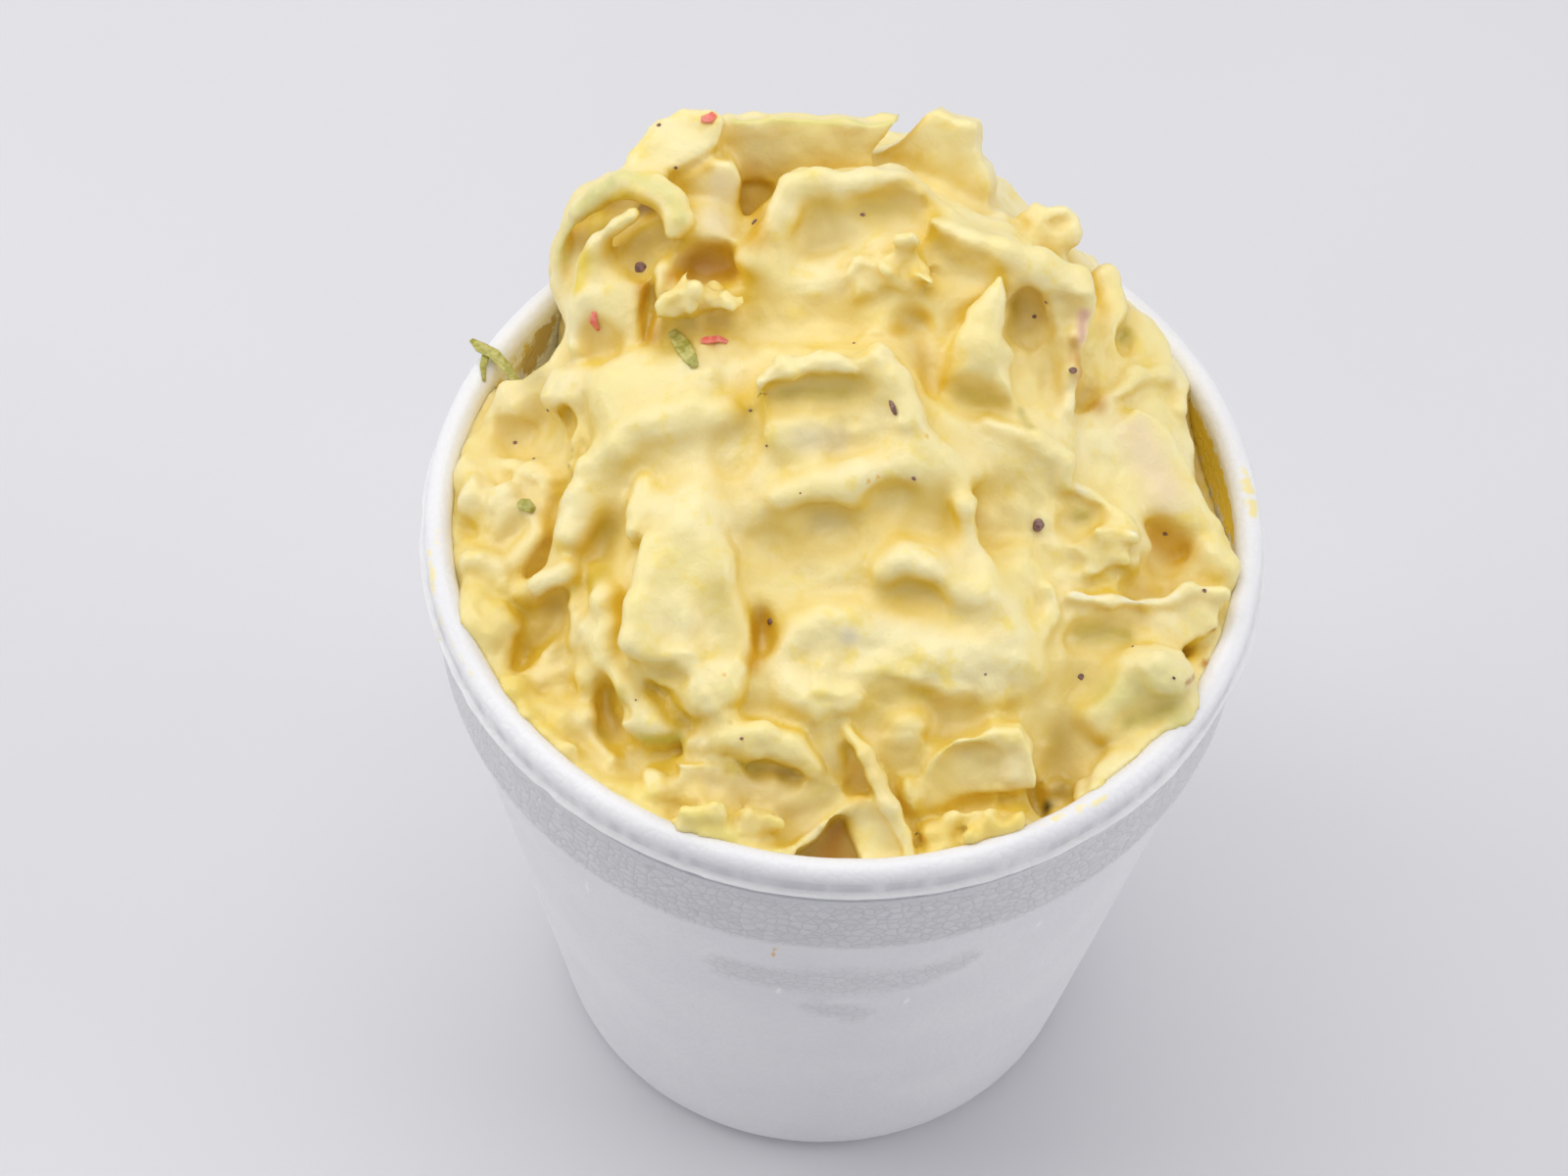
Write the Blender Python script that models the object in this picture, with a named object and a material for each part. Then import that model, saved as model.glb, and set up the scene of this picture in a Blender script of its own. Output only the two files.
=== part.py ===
"""Potato salad heaped in a white foam cup.

Sizes are in millimetres here and become metres as each mesh is made. The origin is the centre of the
cup's underside. Z points up, Y points to the high side of the heap and X to its right. The places of the
salad's pieces are given from the rim's top, so that they read as heights above or below the brim.
"""
import math
import random

import bmesh
import bpy
from mathutils import Euler, Matrix, Vector

MM = 0.001
FULL_TURN = 2 * math.pi

# Cup: outside
RIM_HEIGHT = 91.8
RIM_RADIUS = 47.5
LIP_WIDTH = 3.7
LIP_HEIGHT = 4.0
GROOVE_RADIUS = 46.1
GROOVE_HEIGHT = 1.9
LEDGE_RADIUS = 46.5
BAND_BOTTOM = 74.0
BAND_RADIUS = 45.7
BAND_STEP = 0.9
BASE_RADIUS = 32.6
BASE_ROUND = 3.6
CUP_SIDES = 48

# Cup: inside and underside
WALL_SLOPE = 0.165
FLOOR_TOP = 6.0
FLOOR_ROUND = 2.0
RECESS_DEPTH = 2.4
FOOT_WIDTH = 4.2
FOOT_SLANT = 0.8

# Salad
GAP = 0.3
FILL_BELOW_RIM = 3.5
HEAP_LIMIT_RADIUS = 46.4
ROOM_HEIGHT = 140.0
MASS_SIDES = 18
MASS_RINGS = 10
HOLLOW_SIDES = 10
HOLLOW_RINGS = 7
ROPE_SIDES = 6
PIECE_BEVEL = 0.9

# Pieces on the far side of the heap
BACK_PIECES = 14
BACK_SEED = 5
BACK_PIECE_SIZE = (2.6, 4.8)
BACK_PIECE_THICKNESS = 0.7
BACK_SPREAD = (12, 168)
BACK_RISE = (-4, 52)
BACK_DEPTH = 0.97

# Large lumps that carry the heap: place, half sizes, lean of the far side upwards, turn about Z
MASSES = {
    "mound": ((-1, 1, -3), (39.5, 46, 17.5), 16, 0),
    "middle": ((-2, 6, 3), (27, 18, 15), 14, 0),
    "left_shoulder": ((-18, 22, 2), (14, 14, 21), 0, 8),
    "left_shoulder_edge": ((-26, 30, 11), (8.5, 8, 12), 0, 10),
    "right_shoulder": ((8, 22, 2), (18, 14, 22), 0, -8),
    "back": ((-3, 33, 2), (24, 9, 20), 0, 0),
    "right_bank": ((29, 14, -5), (12, 18, 12), 0, 10),
    "crest_body": ((1, 28, 19), (11, 6, 6), 0, 0),
    "crest_right": ((17, 24, 14), (10.5, 6, 7), 0, -15),
    "saddle_bulge": ((-6, 19, 16), (6.5, 6.5, 5), 0, 0),
}

# Diced potato and slices: place, half sizes, then the turn about Z, the tilt and the roll in degrees
PIECES = {
    "pale_block": ((-21, 30, 23.5), (5.2, 4.5, 4), (18, -14, -16)),
    "beige_face": ((-16, 28, 20), (3.3, 2.6, 5.2), (-12, -15, 0)),
    "top_slice": ((-5.5, 35.5, 20.5), (10.4, 1.8, 5.4), (-3, -32, 3)),
    "spiky_block": ((9.5, 35, 17.5), (3.8, 3.4, 6.6), (-25, -12, 8)),
    "bow": ((21, 26, 18.5), (4.4, 2.6, 2.6), (-10, 0, 0)),
    "barrel": ((14.5, 12.5, 13), (3.4, 3.2, 4.6), (-12, 14, 14)),
    "skin_wall": ((21.5, 15, 13), (3, 3.8, 6), (-25, 20, 0)),
    "right_block": ((32, 8, 6.5), (5.4, 5, 3.2), (-38, 14, 10)),
    "right_slab": ((37, -1, 1), (4, 6.5, 3), (-36, 4, 20)),
    "right_inner": ((28.5, -3.5, 6), (4.2, 4.6, 2.6), (-20, 20, 8)),
    "ledge_slab": ((33.5, -13, 1), (8.4, 3.4, 2.4), (6, 18, 8)),
    "leaning_block": ((33.5, -22, -0.8), (6, 4.2, 3.8), (24, 20, 10)),
    "right_plate": ((18.5, 2, 12), (5.2, 4.6, 2.6), (-10, 22, 6)),
    "centre_plate": ((-2, 3.5, 16), (9.4, 6.2, 3.2), (-4, 24, 0)),
    "centre_edge": ((4.5, 5, 16.5), (2.8, 6, 3), (8, 20, 10)),
    "left_plate": ((-19, 6, 14), (8, 5, 2.6), (4, 14, 0)),
    "tongue": ((-17, -15.5, 7), (5.6, 7, 4.2), (-4, 34, -4)),
    "front_block": ((-6.5, -29.5, 1.5), (8.2, 3, 2.6), (-4, 30, 0)),
    "front_slab": ((-6, -36, -4), (7.4, 3.2, 3), (-6, 38, 0)),
    "front_right_block": ((16, -29.5, -0.5), (6.4, 4.4, 3.4), (6, 34, 6)),
}

# Rounded lumps: place and half sizes
LUMPS = {
    "crest_knob": ((-12, 21.5, 20), (2.2, 2.2, 2.4)),
    "lens": ((13, 27, 21), (4.6, 3, 1.8)),
    "spiky_lobe": ((13.5, 33.5, 18.5), (1.9, 2, 3.6)),
    "pink_piece": ((25.5, 19.5, 11), (1.6, 1.8, 3.6)),
    "right_back_knob": ((34.5, 20, 5.5), (1.8, 1.8, 1.8)),
    "left_bump": ((-36, 8, 5), (4, 3, 2.4)),
    "yolk_crumbs": ((15.5, -35.5, -5), (6, 2.8, 2.6)),
    "rim_bump_left": ((-19.5, -33, -3.5), (2, 2, 2)),
    "rim_bump_middle": ((-14, -35, -3.5), (2.6, 2.4, 2.4)),
    "rim_bump_right": ((-9, -38, -4.5), (2.4, 2, 2)),
    "drape_foot": ((-20.5, -27.5, 0.5), (3.4, 3, 3)),
    "strand_crumb": ((8.5, -34, -0.5), (1.4, 1.8, 1.8)),
    "crumb_1": ((4.5, 23, 19), (1.8, 1.6, 1.6)),
    "crumb_2": ((7, 23.5, 20), (1.7, 1.6, 1.6)),
    "crumb_3": ((4, 21, 17.5), (1.8, 1.7, 1.7)),
    "crumb_4": ((7, 20.5, 17), (1.9, 1.7, 1.7)),
    "crumb_5": ((6, 19, 15.5), (1.8, 1.6, 1.6)),
}

# Ridges, curls and strands: points from one end to the other, each with the radius there
ROPES = {
    "outer_curl": (((-32.5, 26, 5), 1.9), ((-33, 27.5, 13), 1.9), ((-31.5, 28, 18.5), 1.9),
                   ((-29, 28.5, 21.5), 1.9), ((-25.5, 28.5, 23.5), 2.0), ((-22, 27.5, 23.5), 2.1),
                   ((-19.5, 26, 20), 1.9), ((-20.5, 25, 17.5), 1.6)),
    "inner_curl": (((-31, 19.5, 6), 1.7), ((-30, 22.5, 10), 1.7), ((-29.5, 24.5, 14), 1.6),
                   ((-27.5, 25.5, 17.5), 1.5), ((-24.5, 26.5, 19), 1.5)),
    "crest": (((-12, 21.5, 19), 1.9), ((-9, 25.5, 24), 1.8), ((-7.5, 27.5, 26), 1.9),
              ((-2, 28, 26.2), 1.8), ((0, 28.5, 26.8), 1.9), ((5, 28.5, 26), 1.7),
              ((8, 24.5, 24), 1.5), ((14, 22, 22.7), 1.5), ((20, 21, 22), 1.6), ((24, 20.5, 21), 1.7)),
    "torn_lip": (((-22.5, 18, 12.5), 1.7), ((-19, 20, 14), 1.9), ((-13, 18.5, 14.5), 1.9)),
    "horn": (((15.5, 19, 21), 0.9), ((15, 18.5, 18.5), 1.6), ((14, 16.5, 15.5), 2.4)),
    "skin_edge": (((25, 20, 20), 1.7), ((24.5, 17, 16.5), 1.6), ((24, 13.5, 13), 1.8), ((22, 8.5, 10.5), 2.0)),
    "finger": (((27.5, 25.5, 13), 1.8), ((28.5, 23, 11), 1.8), ((28, 20, 9), 1.8)),
    "right_arch": (((29.5, 12.5, 10), 1.7), ((32.5, 15, 8.5), 1.7), ((35.5, 16.5, 5.5), 1.6),
                   ((37, 15, 3.5), 1.4)),
    "centre_lip": (((-10, 3, 18), 1.6), ((-9, 5, 19), 1.8), ((-6, 6.5, 20), 1.8), ((-1.5, 7, 20), 1.7)),
    "shelf": (((-6.5, -6.5, 15), 1.8), ((-2.5, -6.5, 15.5), 1.9), ((1.5, -6.5, 15), 1.6)),
    "long_ridge": (((2, -4.5, 15.5), 1.7), ((7, -3.5, 16), 2.1), ((11.5, -3, 15.5), 2.0),
                   ((13, -6, 13), 1.9), ((14.5, -10.5, 10.5), 1.9), ((17, -15.5, 7.5), 1.9)),
    "peak": (((4, -13.5, 10.5), 2.0), ((7, -12.5, 12), 2.6), ((11, -13.5, 10), 2.2), ((15, -14.5, 8.5), 1.9)),
    "tongue_left": (((-20.5, -11.5, 10.5), 2.0), ((-22, -17.5, 8.5), 2.3), ((-21, -22, 7), 2.5)),
    "tongue_lip": (((-21, -22, 7), 2.4), ((-17.5, -22.5, 8.5), 2.4), ((-14.5, -22, 8.5), 2.1)),
    "tongue_right": (((-13.5, -12, 12), 2.4), ((-11.5, -19, 9), 2.8), ((-12, -24.5, 6), 2.8),
                     ((-13.5, -26.5, 4), 2.0)),
    "hanging_knob": (((-23, -5, 12), 1.7), ((-22.5, -8.5, 10.5), 1.9)),
    "small_knob": (((-26.5, -13.5, 6.5), 1.6), ((-25.5, -16.5, 5.5), 2.0)),
    "plateau_fold": (((-16, 2, 16.5), 1.7), ((-22, 2, 14.5), 2.0), ((-25, 0.5, 12.5), 2.0),
                     ((-28, -1.5, 10), 2.0), ((-29.5, -5.5, 8), 2.0), ((-29, -9, 6), 1.7)),
    "left_ridge": (((-37, -10, -0.5), 1.6), ((-34, -11.5, 2), 1.9), ((-30.5, -11.5, 4), 1.6)),
    "drape": (((-27.5, -17.5, 3.5), 2.1), ((-23.5, -21.5, 4), 2.5), ((-21, -25, 3), 2.9),
              ((-20, -27.5, 1), 2.9)),
    "drip": (((-4, -32.5, 2.5), 1.7), ((-2.5, -33.5, 1.5), 1.3)),
    "strand": (((2, -30, 3.5), 1.5), ((3.5, -32.5, 2.2), 1.6), ((5.5, -35, 0), 1.7),
               ((7, -37, -2), 1.5), ((8.5, -39, -5), 1.2)),
    "strand_root": (((1, -36, -2.5), 1.7), ((3.5, -39, -5), 2.0)),
}

# Hollows between the pieces: place, half sizes, turn about Z
HOLLOWS = {
    "cave": ((-11.6, 28, 22.5), (2.4, 5.5, 6.5), 0),
    "shoulder_hollow": ((-17.4, 23, 16.5), (5.2, 4.4, 2.8), 0),
    "curl_hollow": ((-29.6, 25, 17.5), (2.2, 3, 3.2), 0),
    "under_crest": ((-1.7, 21.5, 23), (5.2, 3.4, 4.2), 0),
    "under_crest_right": ((10.8, 18.2, 21), (5, 2.6, 3.6), 0),
    "horn_hollow": ((19, 17.5, 16), (2.2, 3.4, 3.6), 0),
    "beside_tongue": ((-8.2, -20.3, 8), (1.8, 4, 3), -4),
    "under_knob": ((-25.7, -10, 8), (2.6, 4, 3), -10),
    "under_front_block": ((-7.6, -34.5, 0.5), (4.8, 1.6, 1.8), 0),
    "front_gap": ((-0.4, -39.4, -4), (2.4, 2.2, 2.6), 0),
    "right_front_gap": ((25, -28.5, -3), (2.8, 4, 2.8), -15),
    "left_field": ((-38, -3, 5), (7, 14, 5), -6),
    "front_left_field": ((-32.5, -24.5, 1), (5, 10, 6), 38),
    "left_back_crevice": ((-37, 25, -3), (3.6, 6, 9), 34),
    "right_crevice": ((41.5, 10, -2), (1.9, 9, 8), 10),
    "right_back_crevice": ((36, 29, 2), (3, 7, 8), 45),
    "back_dip": ((-18, 43, 1), (12, 4, 6), 20),
    "right_slot": ((42, -11.5, -2), (1.2, 4.5, 4), -18),
    "front_dark_gap": ((22.5, -33, -4), (1, 2.4, 3), 20),
}


def new_material(name, colour, roughness):
    """Plain Principled material."""
    material = bpy.data.materials.new(name)
    material.use_nodes = True
    shader = material.node_tree.nodes["Principled BSDF"]
    shader.inputs["Base Color"].default_value = (*colour, 1.0)
    shader.inputs["Roughness"].default_value = roughness
    shader.inputs["Metallic"].default_value = 0.0
    return material


def new_object(name, bm, collection=None):
    """Object from a bmesh that is still in millimetres."""
    bmesh.ops.scale(bm, vec=(MM, MM, MM), verts=bm.verts)
    bmesh.ops.recalc_face_normals(bm, faces=bm.faces)
    mesh = bpy.data.meshes.new(name)
    bm.to_mesh(mesh)
    bm.free()
    made = bpy.data.objects.new(name, mesh)
    (collection or bpy.context.scene.collection).objects.link(made)
    return made


def arc(centre, radius, start, end, steps):
    """Points of an arc in the profile's plane, angles in degrees from the outward direction."""
    points = []
    for step in range(steps + 1):
        angle = math.radians(start + (end - start) * step / steps)
        points.append((centre[0] + radius * math.cos(angle), centre[1] + radius * math.sin(angle)))
    return points


def inner_radius(height):
    """Inside radius of the cup's wall at a height above the ground."""
    return RIM_RADIUS - LIP_WIDTH - WALL_SLOPE * (RIM_HEIGHT - LIP_WIDTH / 2 - height)


def revolve(name, profile):
    """Closed solid turned from a profile whose two ends lie on the axis."""
    bm = bmesh.new()
    verts = [bm.verts.new((radius, 0, height)) for radius, height in profile]
    edges = [bm.edges.new(pair) for pair in zip(verts, verts[1:])]
    bmesh.ops.spin(bm, geom=verts + edges, cent=(0, 0, 0), axis=(0, 0, 1), angle=FULL_TURN,
                   steps=CUP_SIDES, use_merge=True)
    bmesh.ops.remove_doubles(bm, verts=bm.verts, dist=GAP / 100)
    return new_object(name, bm)


def cup_profile():
    """Half section of the cup: underside, outside, lip, inside."""
    foot_inside = BASE_RADIUS - BASE_ROUND - FOOT_WIDTH
    lip_middle = RIM_HEIGHT - LIP_WIDTH / 2
    lip_bottom = RIM_HEIGHT - LIP_HEIGHT
    points = [(0, RECESS_DEPTH), (foot_inside - FOOT_SLANT, RECESS_DEPTH), (foot_inside, 0)]
    points += arc((BASE_RADIUS - BASE_ROUND, BASE_ROUND), BASE_ROUND, -90, -8, 5)
    points += [(BAND_RADIUS - BAND_STEP, BAND_BOTTOM - GAP), (BAND_RADIUS, BAND_BOTTOM + GAP)]
    points += [(LEDGE_RADIUS, lip_bottom - GROOVE_HEIGHT - GAP), (GROOVE_RADIUS, lip_bottom - GROOVE_HEIGHT)]
    points += [(GROOVE_RADIUS, lip_bottom - GAP), (RIM_RADIUS - GAP, lip_bottom)]
    points += arc((RIM_RADIUS - LIP_WIDTH / 2, lip_middle), LIP_WIDTH / 2, 0, 180, 8)
    points.append((inner_radius(FLOOR_TOP + FLOOR_ROUND), FLOOR_TOP + FLOOR_ROUND))
    points.append((inner_radius(FLOOR_TOP) - FLOOR_ROUND, FLOOR_TOP))
    points.append((0, FLOOR_TOP))
    return points


def room_profile():
    """Half section of the space that the salad may take up: inside the wall, then out over the lip."""
    lip_centre = (RIM_RADIUS - LIP_WIDTH / 2, RIM_HEIGHT - LIP_WIDTH / 2)
    low = FLOOR_TOP + GAP
    points = [(0, low), (inner_radius(FLOOR_TOP) - FLOOR_ROUND - GAP, low)]
    points.append((inner_radius(FLOOR_TOP + FLOOR_ROUND) - GAP, low + FLOOR_ROUND))
    points += arc(lip_centre, LIP_WIDTH / 2 + GAP, 180, 90, 4)
    points += [(HEAP_LIMIT_RADIUS, points[-1][1]), (HEAP_LIMIT_RADIUS, ROOM_HEIGHT), (0, ROOM_HEIGHT)]
    return points


def fill_profile():
    """Half section of the salad packed in the cup, up to where the heap begins."""
    top = RIM_HEIGHT - FILL_BELOW_RIM
    radius = inner_radius(top) + GAP
    return [(0, FLOOR_TOP), (radius, FLOOR_TOP), (radius, top), (0, top)]


def from_rim(place):
    """A place given from the rim's top, as a vector from the ground."""
    return Vector((place[0], place[1], place[2] + RIM_HEIGHT))


def ellipsoid(name, place, half_sizes, collection, lean=0, turn=0, sides=MASS_SIDES, rings=MASS_RINGS):
    """Rounded mass or hollow."""
    bm = bmesh.new()
    bmesh.ops.create_uvsphere(bm, u_segments=sides, v_segments=rings, radius=1)
    turned = Euler((math.radians(lean), 0, math.radians(turn))).to_matrix().to_4x4()
    matrix = Matrix.Translation(from_rim(place)) @ turned @ Matrix.Diagonal((*half_sizes, 1))
    bmesh.ops.transform(bm, matrix=matrix, verts=bm.verts)
    return new_object(name, bm, collection)


def lump(name, place, half_sizes, collection):
    """Small rounded lump with few faces."""
    bm = bmesh.new()
    bmesh.ops.create_icosphere(bm, subdivisions=2, radius=1)
    matrix = Matrix.Translation(from_rim(place)) @ Matrix.Diagonal((*half_sizes, 1))
    bmesh.ops.transform(bm, matrix=matrix, verts=bm.verts)
    return new_object(name, bm, collection)


def piece(name, place, half_sizes, angles, collection):
    """Block of potato with its edges worn off."""
    bm = bmesh.new()
    bmesh.ops.create_cube(bm, size=2)
    bmesh.ops.scale(bm, vec=half_sizes, verts=bm.verts)
    bmesh.ops.bevel(bm, geom=bm.edges, offset=PIECE_BEVEL, segments=1, affect="EDGES")
    turn, tilt, roll = (math.radians(angle) for angle in angles)
    turned = Matrix.Rotation(turn, 4, "Z") @ Matrix.Rotation(tilt, 4, "X") @ Matrix.Rotation(roll, 4, "Y")
    bmesh.ops.transform(bm, matrix=Matrix.Translation(from_rim(place)) @ turned, verts=bm.verts)
    return new_object(name, bm, collection)


def back_pieces(collection):
    """Blocks set half into the far side of the heap, spread evenly round it."""
    place, half_sizes, lean, turn = MASSES["back"]
    draw = random.Random(BACK_SEED)
    for number in range(BACK_PIECES):
        share = (number + 0.5) / BACK_PIECES
        around = math.radians(BACK_SPREAD[0] + (BACK_SPREAD[1] - BACK_SPREAD[0]) * share)
        up = math.radians(draw.uniform(*BACK_RISE))
        way = (math.cos(around) * math.cos(up), math.sin(around) * math.cos(up), math.sin(up))
        centre = [place[axis] + half_sizes[axis] * way[axis] * BACK_DEPTH for axis in range(3)]
        size = draw.uniform(*BACK_PIECE_SIZE)
        sizes = (size, size * draw.uniform(BACK_PIECE_THICKNESS, 1), size * BACK_PIECE_THICKNESS)
        angles = [draw.uniform(-40, 40) for axis in range(3)]
        piece(f"back_piece_{number}", centre, sizes, angles, collection)


def rope(name, knots, collection):
    """Tapering ridge or strand through the knots, with domed ends."""
    centres = [from_rim(place) for place, radius in knots]
    radii = [radius for place, radius in knots]
    first_way = (centres[1] - centres[0]).normalized()
    last_way = (centres[-1] - centres[-2]).normalized()
    centres = [centres[0] - first_way * radii[0] * 0.7, *centres, centres[-1] + last_way * radii[-1] * 0.7]
    radii = [radii[0] * 0.6, *radii, radii[-1] * 0.6]
    side = first_way.orthogonal().normalized()
    bm = bmesh.new()
    rings = []
    for number, (centre, radius) in enumerate(zip(centres, radii)):
        before = centres[max(number - 1, 0)]
        after = centres[min(number + 1, len(centres) - 1)]
        way = (after - before).normalized()
        side = (side - way * side.dot(way)).normalized()
        other = way.cross(side)
        ring = []
        for step in range(ROPE_SIDES):
            angle = FULL_TURN * step / ROPE_SIDES
            ring.append(bm.verts.new(centre + radius * (math.cos(angle) * side + math.sin(angle) * other)))
        rings.append(ring)
    for ring, following in zip(rings, rings[1:]):
        for step in range(ROPE_SIDES):
            ahead = (step + 1) % ROPE_SIDES
            bm.faces.new((ring[step], ring[ahead], following[ahead], following[step]))
    bm.faces.new(rings[0])
    bm.faces.new(rings[-1])
    return new_object(name, bm, collection)


def apply_boolean(made, operation, collection=None, cutter=None):
    """Apply one exact Boolean and remove what it was made with."""
    boolean = made.modifiers.new(operation.title(), "BOOLEAN")
    boolean.operation = operation
    boolean.solver = "EXACT"
    if collection:
        boolean.operand_type = "COLLECTION"
        boolean.collection = collection
    else:
        boolean.object = cutter
    evaluated = made.evaluated_get(bpy.context.evaluated_depsgraph_get())
    mesh = bpy.data.meshes.new_from_object(evaluated)
    made.modifiers.clear()
    made.data = mesh
    for used in list(collection.objects) if collection else [cutter]:
        bpy.data.objects.remove(used)
    if collection:
        bpy.data.collections.remove(collection)


def drop_scraps(made):
    """Keep the largest body and drop crumbs that a cut has left loose."""
    bm = bmesh.new()
    bm.from_mesh(made.data)
    seen = set()
    bodies = []
    for start in bm.verts:
        if start in seen:
            continue
        seen.add(start)
        body = [start]
        for vert in body:
            for edge in vert.link_edges:
                other = edge.other_vert(vert)
                if other not in seen:
                    seen.add(other)
                    body.append(other)
        bodies.append(body)
    bodies.sort(key=len)
    for body in bodies[:-1]:
        bmesh.ops.delete(bm, geom=body, context="VERTS")
    bmesh.ops.triangulate(bm, faces=bm.faces)
    bm.to_mesh(made.data)
    bm.free()


def foam_cup():
    """The cup: one turned shell with a beaded lip, a stacking band and a recessed underside."""
    cup = revolve("foam_cup", cup_profile())
    cup.data.materials.append(new_material("foam", (0.87, 0.87, 0.88), 0.45))
    cup.data.shade_smooth()
    cup.data.set_sharp_from_angle(angle=math.radians(35))
    return cup


def potato_salad():
    """The salad: solid down to the cup's floor, heaped above the rim, with the pieces that show fused on."""
    salad = revolve("potato_salad", fill_profile())
    heap = bpy.data.collections.new("heap")
    bpy.context.scene.collection.children.link(heap)
    for name, (place, half_sizes, lean, turn) in MASSES.items():
        ellipsoid(name, place, half_sizes, heap, lean, turn)
    for name, (place, half_sizes, angles) in PIECES.items():
        piece(name, place, half_sizes, angles, heap)
    back_pieces(heap)
    for name, (place, half_sizes) in LUMPS.items():
        lump(name, place, half_sizes, heap)
    for name, knots in ROPES.items():
        rope(name, knots, heap)
    apply_boolean(salad, "UNION", collection=heap)
    hollows = bpy.data.collections.new("hollows")
    bpy.context.scene.collection.children.link(hollows)
    for name, (place, half_sizes, turn) in HOLLOWS.items():
        ellipsoid(name, place, half_sizes, hollows, turn=turn, sides=HOLLOW_SIDES, rings=HOLLOW_RINGS)
    apply_boolean(salad, "DIFFERENCE", collection=hollows)
    apply_boolean(salad, "INTERSECT", cutter=revolve("room", room_profile()))
    drop_scraps(salad)
    salad.data.materials.append(new_material("salad", (0.85, 0.73, 0.36), 0.35))
    return salad


def main():
    for old in list(bpy.data.objects):
        bpy.data.objects.remove(old)
    foam_cup()
    potato_salad()


main()
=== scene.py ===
import itertools
import math
import random

import bmesh
import bpy
import numpy as np
from mathutils import Matrix, Vector


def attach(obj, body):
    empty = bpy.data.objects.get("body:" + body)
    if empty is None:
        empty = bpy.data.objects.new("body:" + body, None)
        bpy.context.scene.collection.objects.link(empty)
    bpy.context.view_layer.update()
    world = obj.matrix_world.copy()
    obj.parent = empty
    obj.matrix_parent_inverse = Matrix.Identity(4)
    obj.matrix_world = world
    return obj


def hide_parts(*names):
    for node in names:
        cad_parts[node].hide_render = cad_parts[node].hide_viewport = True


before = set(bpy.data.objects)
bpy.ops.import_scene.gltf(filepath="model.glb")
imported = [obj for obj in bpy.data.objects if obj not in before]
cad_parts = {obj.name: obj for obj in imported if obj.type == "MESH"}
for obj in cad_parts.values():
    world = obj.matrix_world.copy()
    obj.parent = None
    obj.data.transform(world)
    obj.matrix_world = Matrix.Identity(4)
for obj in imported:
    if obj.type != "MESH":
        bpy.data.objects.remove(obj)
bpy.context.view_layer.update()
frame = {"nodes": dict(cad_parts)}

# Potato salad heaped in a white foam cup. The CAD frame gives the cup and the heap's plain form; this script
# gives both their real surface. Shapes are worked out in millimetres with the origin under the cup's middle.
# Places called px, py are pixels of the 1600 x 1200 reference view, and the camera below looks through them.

MM = 0.001

# Camera of the reference view
VIEW_WIDTH, VIEW_HEIGHT = 1600, 1200
FOCAL_PIXELS = 5000.0
CAMERA_PITCH = math.radians(56.4)
CAMERA_ROLL = math.radians(2.94)
CAMERA_AIM = np.array([-6.32, 0.0, 76.37])
CAMERA_DISTANCE = 559.6
SENSOR_WIDTH = 36.0

# Cup
RIM_Z = 91.8
RIM_RADIUS = 47.5
LIP_WIDTH = 3.7
LIP_HEIGHT = 4.0
LIP_BOTTOM = RIM_Z - LIP_HEIGHT
FLASH = 0.55
GROOVE_RADIUS = 46.1
GROOVE_HEIGHT = 1.9
GROOVE_BOTTOM = LIP_BOTTOM - GROOVE_HEIGHT
LEDGE_RADIUS = 46.5
BAND_BOTTOM = 74.0
BAND_RADIUS = 45.7
BAND_STEP = 0.9
BASE_RADIUS = 32.6
BASE_ROUND = 3.6
WALL_SLOPE = 0.165
FLOOR_TOP = 6.0
FLOOR_ROUND = 2.0
RECESS_DEPTH = 2.4
FOOT_WIDTH = 4.2
FOOT_SLANT = 0.8

# Heap
GAP = -0.1
FILL_BELOW_RIM = 3.5
VOXEL = 0.5
FIELD_LOW = (-48.0, -48.0, RIM_Z - 14.0)
FIELD_HIGH = (48.0, 48.0, RIM_Z + 32.0)
FIELD_MARGIN = 2.0
BARE_VOXEL = 1.2

# Stretch of each line of sight in which salad is looked for
SIGHT_START, SIGHT_END, SIGHT_STEP = 480, 640, 0.2

# How far the salad stays inside the lip's outer edge, and heights of its rings against the wall further down
EDGE_MARGIN = 1.1
INNER_RINGS = (60.0, 40.0, 20.0)

# How softly shapes run into each other, by what they are
MASS_BLEND = 4.0
FILLET_BLEND = 2.0
WALL_HOLLOW_BLEND = 1.0
BACK_BLEND = 1.8


# Camera arithmetic

def camera_axes():
    """Forward, right and up of the camera, in that order."""
    forward = np.array([0, math.cos(CAMERA_PITCH), -math.sin(CAMERA_PITCH)])
    level = np.array([1.0, 0, 0])
    upright = np.array([0, math.sin(CAMERA_PITCH), math.cos(CAMERA_PITCH)])
    right = level * math.cos(CAMERA_ROLL) + upright * math.sin(CAMERA_ROLL)
    up = -level * math.sin(CAMERA_ROLL) + upright * math.cos(CAMERA_ROLL)
    return forward, right, up


FORWARD, RIGHT, UP = camera_axes()
CAMERA_PLACE = CAMERA_AIM - FORWARD * CAMERA_DISTANCE


def pixel_ray(px, py):
    """Direction from the camera through a pixel."""
    way = FORWARD + RIGHT * (px - VIEW_WIDTH / 2) / FOCAL_PIXELS + UP * (VIEW_HEIGHT / 2 - py) / FOCAL_PIXELS
    return way / np.linalg.norm(way)


def to_pixels(points):
    """Pixels and depths of points."""
    away = points - CAMERA_PLACE
    depth = away @ FORWARD
    px = VIEW_WIDTH / 2 + FOCAL_PIXELS * (away @ RIGHT) / depth
    py = VIEW_HEIGHT / 2 - FOCAL_PIXELS * (away @ UP) / depth
    return px, py, depth


def place_at(px, py, height):
    """Point seen at a pixel, at a height above the rim."""
    way = pixel_ray(px, py)
    return CAMERA_PLACE + way * (RIM_Z + height - CAMERA_PLACE[2]) / way[2]


# Distance fields

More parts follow.
